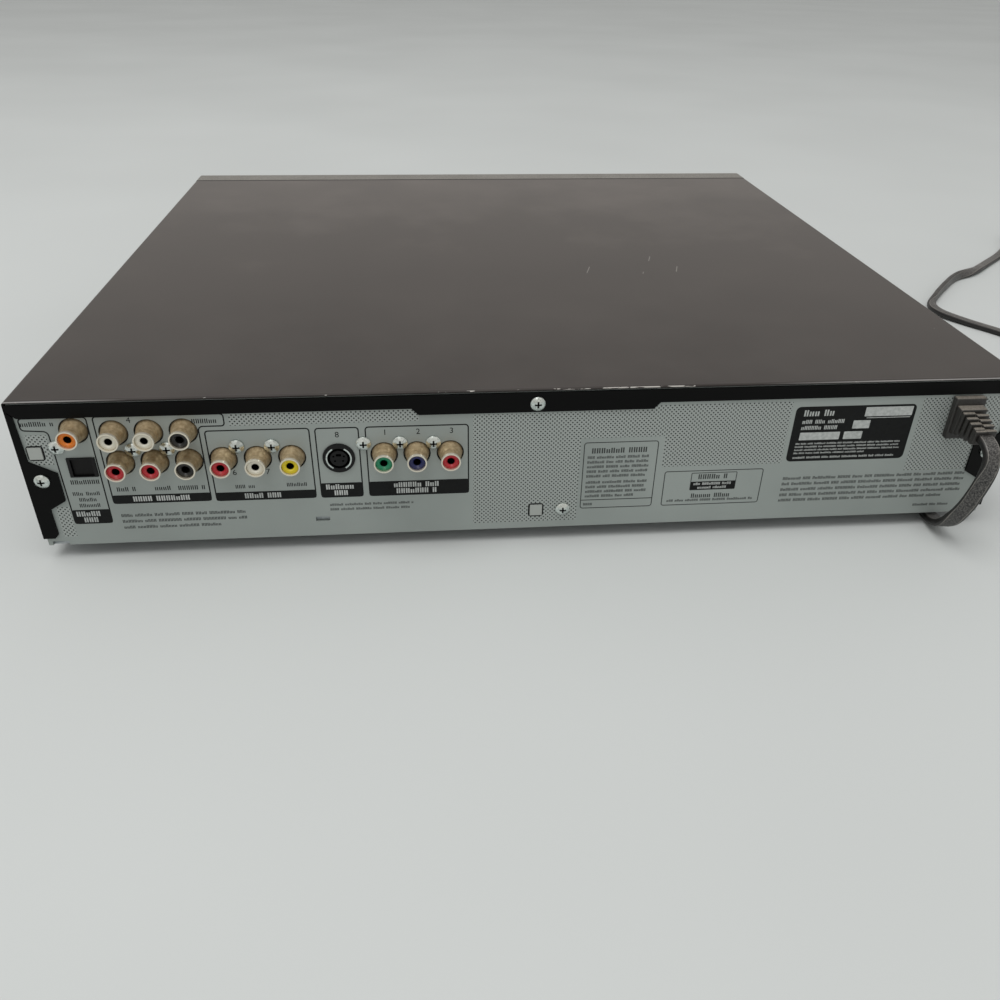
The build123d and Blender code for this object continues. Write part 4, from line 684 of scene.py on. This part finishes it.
# Galvanised sheet: dull grey with faint spangle and a soft metallic sheen
def zincSheet(name, dark, light, roughness, spangle):
    material = newMaterial(name)
    where = (addNode(material, "TexCoord"), "Object")
    cells = addNode(material, "TexVoronoi", {"Vector": where, "Scale": 1 / (spangle * mm)})
    cloud = addNode(material, "TexNoise", {"Vector": where, "Scale": 1 / (16.67 * mm), "Detail": 4.0})
    parts = addNode(material, "SeparateColor", {0: (cells, "Color")})
    mixed = addNode(material, "Math", {0: parts, 1: cloud}, operation="ADD")
    half = addNode(material, "Math", {0: mixed, 1: 0.5}, operation="MULTIPLY")
    tone = addNode(material, "ValToRGB", {"Fac": half}, stops=[(0.2, dark), (0.8, light)])
    gloss = addNode(material, "MapRange", {"Value": half, "To Min": roughness - 0.07,
                                           "To Max": roughness + 0.09})
    raised = addNode(material, "Bump", {"Height": cloud, "Strength": 0.08, "Distance": 0.3 * mm})
    setShader(material, {"Base Color": (tone, "Color"), "Roughness": gloss, "Normal": raised,
                         "Metallic": 1.0})
    return material


# Pre-coated steel of the rear panel: flat pale grey-green, printed with fields of fine dots
def coatedPanel():
    dots = {"pitch": 1.95, "radius": 0.37, "soft": 0.07, "dark": "#232826", "ground": "#a2a8a4"}
    coat = {"tones": [(0.3, "#8f9692"), (0.7, "#9ca39f")], "pads": "#a8aca7", "padsOut": 0.2}
    fields = [  # x and its reach, z and its reach
        (89.0, 39.0, 66.1, 2.7), (206.1, 4.3, 54.45, 6.95), (203.7, 2.8, 18.75, 7.75),
        (3.7, 23.5, 37.95, 27.45), (-65.9, 46.1, 60.1, 7.5), (-84.5, 27.5, 44.8, 7.8),
        (-190.75, 19.25, 49.5, 18.5),
    ]
    material = newMaterial("coatedSteelPanel")
    where = (addNode(material, "TexCoord"), "Object")
    axes = addNode(material, "SeparateXYZ", {0: where})
    near = None
    for shift in (0.0, 0.5):  # two grids of dots, one in the gaps of the other
        scaled = addNode(material, "Mapping", {"Vector": where, "Location": (shift, 0, shift),
                                               "Scale": [1 / (dots["pitch"] * mm)] * 3})
        cell = addNode(material, "VectorMath", {0: scaled}, operation="FRACTION")
        flat = addNode(material, "VectorMath", {0: cell, 1: (1, 0, 1)}, operation="MULTIPLY")
        away = addNode(material, "VectorMath", {0: flat, 1: (0.5, 0, 0.5)}, operation="DISTANCE")
        dot = addNode(material, "MapRange", {
            "Value": (away, 1), "From Min": (dots["radius"] + dots["soft"]) / dots["pitch"],
            "From Max": (dots["radius"] - dots["soft"]) / dots["pitch"]})
        if near:
            dot = addNode(material, "Math", {0: near, 1: dot}, operation="MAXIMUM")
        near = dot
    inside = patchMask(material, axes, "X", "Z", fields)
    # the stamped pads stand out of the print and stay bare
    level = addNode(material, "Math", {0: (axes, "Y"), 1: (panelY + coat["padsOut"]) * mm},
                    operation="LESS_THAN")
    inField = addNode(material, "Math", {0: inside, 1: level}, operation="MULTIPLY")
    printed = addNode(material, "Math", {0: near, 1: inField}, operation="MULTIPLY")
    cloud = addNode(material, "TexNoise", {"Vector": where, "Scale": 1 / (71.43 * mm), "Detail": 3.0})
    tone = addNode(material, "ValToRGB", {"Fac": cloud}, stops=coat["tones"])
    ground = addNode(material, "Mix", {0: inside, 6: (tone, "Color"), 7: hexColour(dots["ground"])},
                     data_type="RGBA")
    padded = addNode(material, "Mix", {0: level, 6: hexColour(coat["pads"]), 7: (ground, 2)},
                     data_type="RGBA")
    dotted = addNode(material, "Mix", {0: printed, 6: (padded, 2), 7: hexColour(dots["dark"])},
                     data_type="RGBA")
    skin = addNode(material, "TexNoise", {"Vector": where, "Scale": 1 / (0.5556 * mm), "Detail": 2.0})
    raised = addNode(material, "Bump", {"Height": skin, "Strength": 0.06, "Distance": 0.2 * mm})
    gloss = addNode(material, "MapRange", {"Value": cloud, "To Min": 0.36, "To Max": 0.5})
    setShader(material, {"Base Color": (dotted, 2), "Roughness": gloss, "Normal": raised, "Metallic": 0.15})
    return material


# Black satin enamel of the cover: a film of dust, thicker toward the front, where it also stands for a
# painted reflection, and a few scratches on top, paint chipped along the rear fold and paler toward both its
# ends, partly rubbed thin and partly a painted highlight, with painted shade in the gap at the front panel
def satinEnamel():
    film = {
        "clouds": 66.67, "up": (76.0, 76.9),  # in mm; only faces this high get the dust and the painted reflection
        "rear": (200.0, 0.225), "front": (-176.0, 0.565), "clouded": 0.55,  # y and the least film there
        "tones": [(0.0, "#020202"), (0.3, "#332f2d"), (0.7, "#4d4946"), (1.0, "#6c6763")],
        "gapShadeBefore": -184.2, "gapShade": "#0b0a0a",  # painted shade of the gap where the cover meets the front panel
    }
    scratches = {
        "cell": 16.0, "turn": 0.3, "thin": 0.014, "reach": 0.36, "few": 0.62, "faint": 0.6, "tone": "#98948f",
        "patches": [(-78.0, 36.0, 34.0, 16.0), (-209.0, 6.0, 148.0, 9.0)],  # x and its reach, y and its reach
    }
    fold = {
        "behind": 195.6, "level": (76.62, 0.2),  # the thin band where the top turns down
        # paler toward both ends of the fold: rubbed-thin paint and a painted highlight along it
        "rubbedAndLit": ((-96.0, -150.0), (166.0, 196.0)), "thin": "#8b8987",
        "flakes": (5.882, 1.111, 1.111), "flake": 0.66, "bare": "#b4b1ab",
        "chips": ((-53.0, 14.0, 0.22), (-23.5, 15.5, 0.08)),  # x, its reach, how much more is gone
    }
    material = newMaterial("satinBlackEnamel")
    where = (addNode(material, "TexCoord"), "Object")
    axes = addNode(material, "SeparateXYZ", {0: where})
    cloud = addNode(material, "TexNoise", {"Vector": where, "Scale": 1 / (film["clouds"] * mm),
                                           "Detail": 6.0, "Roughness": 0.65})
    low, high = film["up"]
    up = addNode(material, "MapRange", {"Value": (axes, "Z"), "From Min": low * mm, "From Max": high * mm})
    # the film grows toward the front: dust, and a painted reflection of the pale surroundings
    (rear, least), (front, most) = film["rear"], film["front"]
    moreTowardFront = addNode(material, "MapRange", {"Value": (axes, "Y"), "From Min": rear * mm,
                                            "From Max": front * mm, "To Min": least, "To Max": most})
    dustAndSheenAmount = addNode(material, "Math", {0: cloud, 1: film["clouded"], 2: moreTowardFront}, operation="MULTIPLY_ADD")
    dustAndSheen = addNode(material, "Math", {0: dustAndSheenAmount, 1: up}, operation="MULTIPLY")
    tone = addNode(material, "ValToRGB", {"Fac": dustAndSheen}, stops=film["tones"])
    # long faint scratches, one to a cell, moved about in it
    drawn = addNode(material, "Mapping", {"Vector": where, "Rotation": (0, 0, scratches["turn"]),
                                          "Scale": [1 / (scratches["cell"] * mm)] * 3})
    flat = addNode(material, "VectorMath", {0: drawn, 1: (1, 1, 0)}, operation="MULTIPLY")
    cell = addNode(material, "VectorMath", {0: flat}, operation="FLOOR")
    chance = addNode(material, "TexWhiteNoise", {"Vector": cell})
    spot = addNode(material, "VectorMath", {0: flat}, operation="FRACTION")
    moved = addNode(material, "VectorMath", {0: (chance, "Color"), 1: (0.5, 0.5, 0.5), 2: spot},
                    operation="MULTIPLY_ADD")
    inCell = addNode(material, "SeparateXYZ", {0: moved})
    thin = addNode(material, "Math", {0: (inCell, "X"), 1: 0.75, 2: scratches["thin"]}, operation="COMPARE")
    long = addNode(material, "Math", {0: (inCell, "Y"), 1: 0.75, 2: scratches["reach"]}, operation="COMPARE")
    some = addNode(material, "Math", {0: chance, 1: scratches["few"]}, operation="GREATER_THAN")
    here = patchMask(material, axes, "X", "Y", scratches["patches"])
    scratch = thin
    for limit in (long, some, here, up, scratches["faint"]):
        scratch = addNode(material, "Math", {0: scratch, 1: limit}, operation="MULTIPLY")
    scratched = addNode(material, "Mix", {0: scratch, 6: (tone, "Color"), 7: hexColour(scratches["tone"])},
                        data_type="RGBA")
    # the fold, first made paler toward its ends, partly paint rubbed thin and partly a painted highlight, and
    # then chipped
    back = addNode(material, "Math", {0: (axes, "Y"), 1: fold["behind"] * mm}, operation="GREATER_THAN")
    middle, reach = fold["level"]
    level = addNode(material, "Math", {0: (axes, "Z"), 1: middle * mm, 2: reach * mm}, operation="COMPARE")
    onFold = addNode(material, "Math", {0: back, 1: level}, operation="MULTIPLY")
    ends = [addNode(material, "MapRange", {"Value": (axes, "X"), "From Min": a * mm, "From Max": b * mm})
            for a, b in fold["rubbedAndLit"]]
    rubbedAndLit = addNode(material, "Math", {0: ends[0], 1: ends[1]}, operation="MAXIMUM")
    wornAndLit = addNode(material, "Math", {0: rubbedAndLit, 1: onFold}, operation="MULTIPLY")
    foldPaled = addNode(material, "Mix", {0: wornAndLit, 6: (scratched, 2), 7: hexColour(fold["thin"])},
                       data_type="RGBA")
    stretched = addNode(material, "Mapping", {"Vector": where,
                                              "Scale": [1 / (size * mm) for size in fold["flakes"]]})
    flake = addNode(material, "TexNoise", {"Vector": stretched, "Scale": 1.0, "Detail": 3.0})
    for middle, reach, more in fold["chips"]:
        spread = addNode(material, "Math", {0: (axes, "X"), 1: middle * mm, 2: reach * mm},
                         operation="COMPARE")
        flake = addNode(material, "Math", {0: spread, 1: more, 2: flake}, operation="MULTIPLY_ADD")
    past = addNode(material, "Math", {0: flake, 1: fold["flake"]}, operation="GREATER_THAN")
    lost = addNode(material, "Math", {0: past, 1: onFold}, operation="MULTIPLY")
    chipped = addNode(material, "Mix", {0: lost, 6: (foldPaled, 2), 7: hexColour(fold["bare"])},
                      data_type="RGBA")
    # painted shade: a dark band where the cover meets the front panel, standing for the shadow in the gap
    inGapShade = addNode(material, "Math", {0: (axes, "Y"), 1: film["gapShadeBefore"] * mm}, operation="LESS_THAN")
    gapShaded = addNode(material, "Mix", {0: inGapShade, 6: (chipped, 2), 7: hexColour(film["gapShade"])},
                     data_type="RGBA")
    gloss = addNode(material, "MapRange", {"Value": cloud, "From Min": 0.3, "From Max": 0.7,
                                           "To Min": 0.36, "To Max": 0.46})
    peel = addNode(material, "TexNoise", {"Vector": where, "Scale": 1 / (0.7143 * mm), "Detail": 2.0})
    raised = addNode(material, "Bump", {"Height": peel, "Strength": 0.1, "Distance": 0.2 * mm})
    setShader(material, {"Base Color": (gapShaded, 2), "Roughness": gloss, "Normal": raised, "IOR": 1.21})
    return material


# Plated brass of the jack shells: dull and yellowish along the barrel, bright and smoother at the lip, partly
# worn plating and partly a painted highlight
def platedJack():
    brass = {
        "lip": (7.4, 8.3),  # mm out of the panel
        "dull": [(0.3, "#a08a68"), (0.7, "#c9b490")], "bright": "#ded7c6",
    }
    material = newMaterial("platedJackShell")
    where = (addNode(material, "TexCoord"), "Object")
    axes = addNode(material, "SeparateXYZ", {0: where})
    rub = addNode(material, "TexNoise", {"Vector": where, "Scale": 1 / (1.429 * mm), "Detail": 4.0})
    start, full = [(panelY + out) * mm for out in brass["lip"]]
    out = addNode(material, "MapRange", {"Value": (axes, "Y"), "From Min": start, "From Max": full})
    dull = addNode(material, "ValToRGB", {"Fac": rub}, stops=brass["dull"])
    # the bright lip tone is partly a painted highlight
    wornAndLit = addNode(material, "Mix", {0: out, 6: (dull, "Color"), 7: hexColour(brass["bright"])},
                   data_type="RGBA")
    gloss = addNode(material, "MapRange", {"Value": out, "To Min": 0.4, "To Max": 0.2})
    raised = addNode(material, "Bump", {"Height": rub, "Strength": 0.12, "Distance": 0.2 * mm})
    setShader(material, {"Base Color": (wornAndLit, 2), "Roughness": gloss, "Normal": raised, "Metallic": 0.55})
    return material


# Moulded inserts: each jack has its own colour, by where it stands, and painted shade darkens it down its
# hole
def insertPlastic():
    insert = {
        "red": [(0.3, "#a91f29"), (0.7, "#bd2a33")], "reach": 5.0,
        "others": [  # x, z and colour
            (190.5, 63.0, "#dd7a1f"), (175.0, 61.5, "#ddd9c9"), (161.0, 61.5, "#ddd9c9"),
            (147.0, 61.5, "#141414"), (147.0, 47.5, "#141414"), (118.6, 47.7, "#ddd9c9"),
            (104.3, 47.7, "#dcc71e"), (65.4, 47.7, "#17825b"), (51.4, 47.7, "#1c2355"),
        ],
        "hole": (7.8, 7.3), "holeShade": "#080807",  # from this far out of the panel the painted shade of the hole darkens it
    }
    material = newMaterial("colouredJackInsert")
    where = (addNode(material, "TexCoord"), "Object")
    axes = addNode(material, "SeparateXYZ", {0: where})
    speckle = addNode(material, "TexNoise", {"Vector": where, "Scale": 1 / (0.6667 * mm), "Detail": 2.0})
    last = addNode(material, "ValToRGB", {"Fac": speckle}, stops=insert["red"])
    for x, z, colour in insert["others"]:
        here = patchMask(material, axes, "X", "Z", [(x, insert["reach"], z, insert["reach"])])
        last = (addNode(material, "Mix", {0: here, 6: last, 7: hexColour(colour)}, data_type="RGBA"), 2)
    start, full = [(panelY + out) * mm for out in insert["hole"]]
    down = addNode(material, "MapRange", {"Value": (axes, "Y"), "From Min": start, "From Max": full})
    holeShaded = addNode(material, "Mix", {0: down, 6: last, 7: hexColour(insert["holeShade"])},
                     data_type="RGBA")
    gloss = addNode(material, "MapRange", {"Value": speckle, "To Min": 0.28, "To Max": 0.42})
    setShader(material, {"Base Color": (holeShaded, 2), "Roughness": gloss})
    return material


# Green fibre board: solder mask over a faint weave and lighter copper runs
def fibreBoard():
    material = newMaterial("fibreCircuitBoard")
    where = (addNode(material, "TexCoord"), "Object")
    runs = addNode(material, "TexVoronoi", {"Vector": where, "Scale": 1 / (6.25 * mm)},
                   distance="MANHATTAN")
    tone = addNode(material, "ValToRGB", {"Fac": (runs, "Distance")},
                   stops=[(0.1, "#1d4a33"), (0.45, "#245c3f"), (0.7, "#3a7a55")])
    weave = addNode(material, "TexNoise", {"Vector": where, "Scale": 1 / (0.8333 * mm)})
    raised = addNode(material, "Bump", {"Height": weave, "Strength": 0.1, "Distance": 0.2 * mm})
    gloss = addNode(material, "MapRange", {"Value": weave, "To Min": 0.3, "To Max": 0.5})
    setShader(material, {"Base Color": (tone, "Color"), "Roughness": gloss, "Normal": raised})
    return material


screwZinc = zincSheet("zincPlatedScrew", "#b3bbb8", "#dfe6e2", 0.26, 0.9)
finishPiece(shieldBm, "videoJackShield", screwZinc)
# Painted shade: near-black plates where the recesses lie in shadow
finishPiece(crossBm, "screwCrosses", grainedSurface("recessPaintedShade", "#0b0a09", "#1b1a18", 0.7, 0.4, IOR=1.3))

paint(satinEnamel(), "top_cover")
paint(coatedPanel(), "rear_panel")
paint(zincSheet("galvanisedSheet", "#82878a", "#b2b7b9", 0.42, 7.0), "chassis", "clamp_bridge", "base_plate")
paint(zincSheet("drawnMotorCan", "#7c8083", "#a9adb0", 0.32, 3.0),
      "spindle_motor", "sled_motor", "loading_motor", "table_motor")
paint(screwZinc, "rear_screws", "cover_screws", "guide_rods")
paint(platedJack(), "rca_shells")
paint(insertPlastic(), "rca_inserts")
paint(fibreBoard(), "main_board", "power_board", "jack_board", "front_board")
# Spark-eroded ABS of the front: black with a fine even grain, paler on its upward faces, partly dust and
# partly painted light
paint(grainedSurface("sparkGrainAbs", "#141414", "#222120", 0.42, 0.9, dustAndSheen="#7d7a73"), "front_panel",
      "drawer_front")
# Polished ABS of the buttons: a shade lighter and smoother than the front
paint(grainedSurface("satinButtonAbs", "#232323", "#2f2f2e", 0.32, 0.7, bump=0.08),
      *[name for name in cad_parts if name.endswith("_button")])
# Smoked acrylic of the window and the dark glass of the tube
paint(grainedSurface("smokedAcrylic", "#07080a", "#0d0f12", 0.1, 3.0, bump=0.01), "display_window")
paint(grainedSurface("coatedTubeGlass", "#17221f", "#24332e", 0.12, 4.0, bump=0.01), "display_tube")
# Moulded black parts: matt styrene of deck and frame, denser of the jacks
paint(grainedSurface("mattDeckStyrene", "#1b1b1b", "#2a2a29", 0.55, 1.1), "deck", "lift_frame")
paint(grainedSurface("mouldedJackBlack", "#060607", "#0e0e0f", 0.4, 0.8, IOR=1.33),
      "rca_housings", "s_video_jack", "optical_jack")
# Unpolished flap of the optical jack, darker than its housing
paint(grainedSurface("mattFlapBlack", "#080808", "#141414", 0.55, 0.5, IOR=1.3), "optical_shutter")
# Grey-black carousel and tray, finely textured so that discs slide on them
paint(grainedSurface("texturedTrayAbs", "#242426", "#343437", 0.5, 0.9), "tray", "carousel", "table_cap")
# Acetal of gears, cam and clamper: milky white, slightly waxy
paint(grainedSurface("milkyAcetal", "#cfcdc4", "#e3e1d8", 0.38, 2.0, bump=0.05),
      "table_gear", "rack_gear", "belt_gear", "motor_pulley", "sled_gear", "lift_cam", "clamper", "turntable")
# Rubber of belt, feet and insulators: dull black with a floury bloom
paint(grainedSurface("bloomedRubber", "#161616", "#262524", 0.75, 0.7), "drive_belt", "insulators", "feet")
# Die-cast and lacquered parts
paint(grainedSurface("castPickupZinc", "#5b5f62", "#84888b", 0.45, 0.6, Metallic=0.8), "optical_pickup")
paint(grainedSurface("lacqueredCore", "#39322b", "#5c5147", 0.5, 1.5), "transformer")
paint(leadSkin, "power_cord", "cord_coil")
paint(bootPvc, "power_plug", "cord_gland")
print("finishes done")

# Studio: pale floor, one large soft lamp overhead, even pale surroundings
studio = {
    "floor": 30.0, "floorTones": [(0.3, "#c6c9c7"), (0.7, "#cbcecc")], "sky": "#ffffff", "skyLevel": 0.56,
    "backdrop": "#d4d0cb", "lamp": {"place": (0.5, 0.7, 2.6), "size": 1.8, "power": 40.0},
}
floorBm = bmesh.new()
bmesh.ops.create_grid(floorBm, x_segments=1, y_segments=1, size=studio["floor"] / 2)
floorMesh = bpy.data.meshes.new("floor")
floorBm.to_mesh(floorMesh)
floorBm.free()
floor = bpy.data.objects.new("floor", floorMesh)
bpy.context.scene.collection.objects.link(floor)
paleFloor = newMaterial("paleTableTop")
where = (addNode(paleFloor, "TexCoord"), "Object")
cloud = addNode(paleFloor, "TexNoise", {"Vector": where, "Scale": 1 / (333.3 * mm), "Detail": 2.0})
tone = addNode(paleFloor, "ValToRGB", {"Fac": cloud}, stops=studio["floorTones"])
setShader(paleFloor, {"Base Color": (tone, "Color"), "Roughness": 0.8, "IOR": 1.3})
floorMesh.materials.append(paleFloor)

world = bpy.data.worlds.new("paleRoom")
bpy.context.scene.world = world
world.use_nodes = True
light = world.node_tree.nodes["Background"]
light.inputs["Color"].default_value = hexColour(studio["sky"])
light.inputs["Strength"].default_value = studio["skyLevel"]
seen = addNode(world, "Background", {"Color": hexColour(studio["backdrop"]), "Strength": 1.0})
rays = addNode(world, "LightPath")
viewed = addNode(world, "Math", {0: (rays, "Is Camera Ray"), 1: (rays, "Is Glossy Ray")}, operation="MAXIMUM")
either = addNode(world, "Math", {0: viewed, 1: (rays, "Is Transmission Ray")}, operation="MAXIMUM")
mixed = addNode(world, "MixShader", {0: either, 1: light, 2: seen})
world.node_tree.links.new(mixed.outputs[0], world.node_tree.nodes["World Output"].inputs[0])

lampData = bpy.data.lights.new("softLamp", "AREA")
lampData.size = studio["lamp"]["size"]
lampData.energy = studio["lamp"]["power"]
lamp = bpy.data.objects.new("softLamp", lampData)
lamp.location = studio["lamp"]["place"]
lamp.rotation_euler = (-Vector(studio["lamp"]["place"])).to_track_quat("-Z", "Y").to_euler()
bpy.context.scene.collection.objects.link(lamp)
bpy.context.scene.view_settings.view_transform = "Standard"
print("studio done")
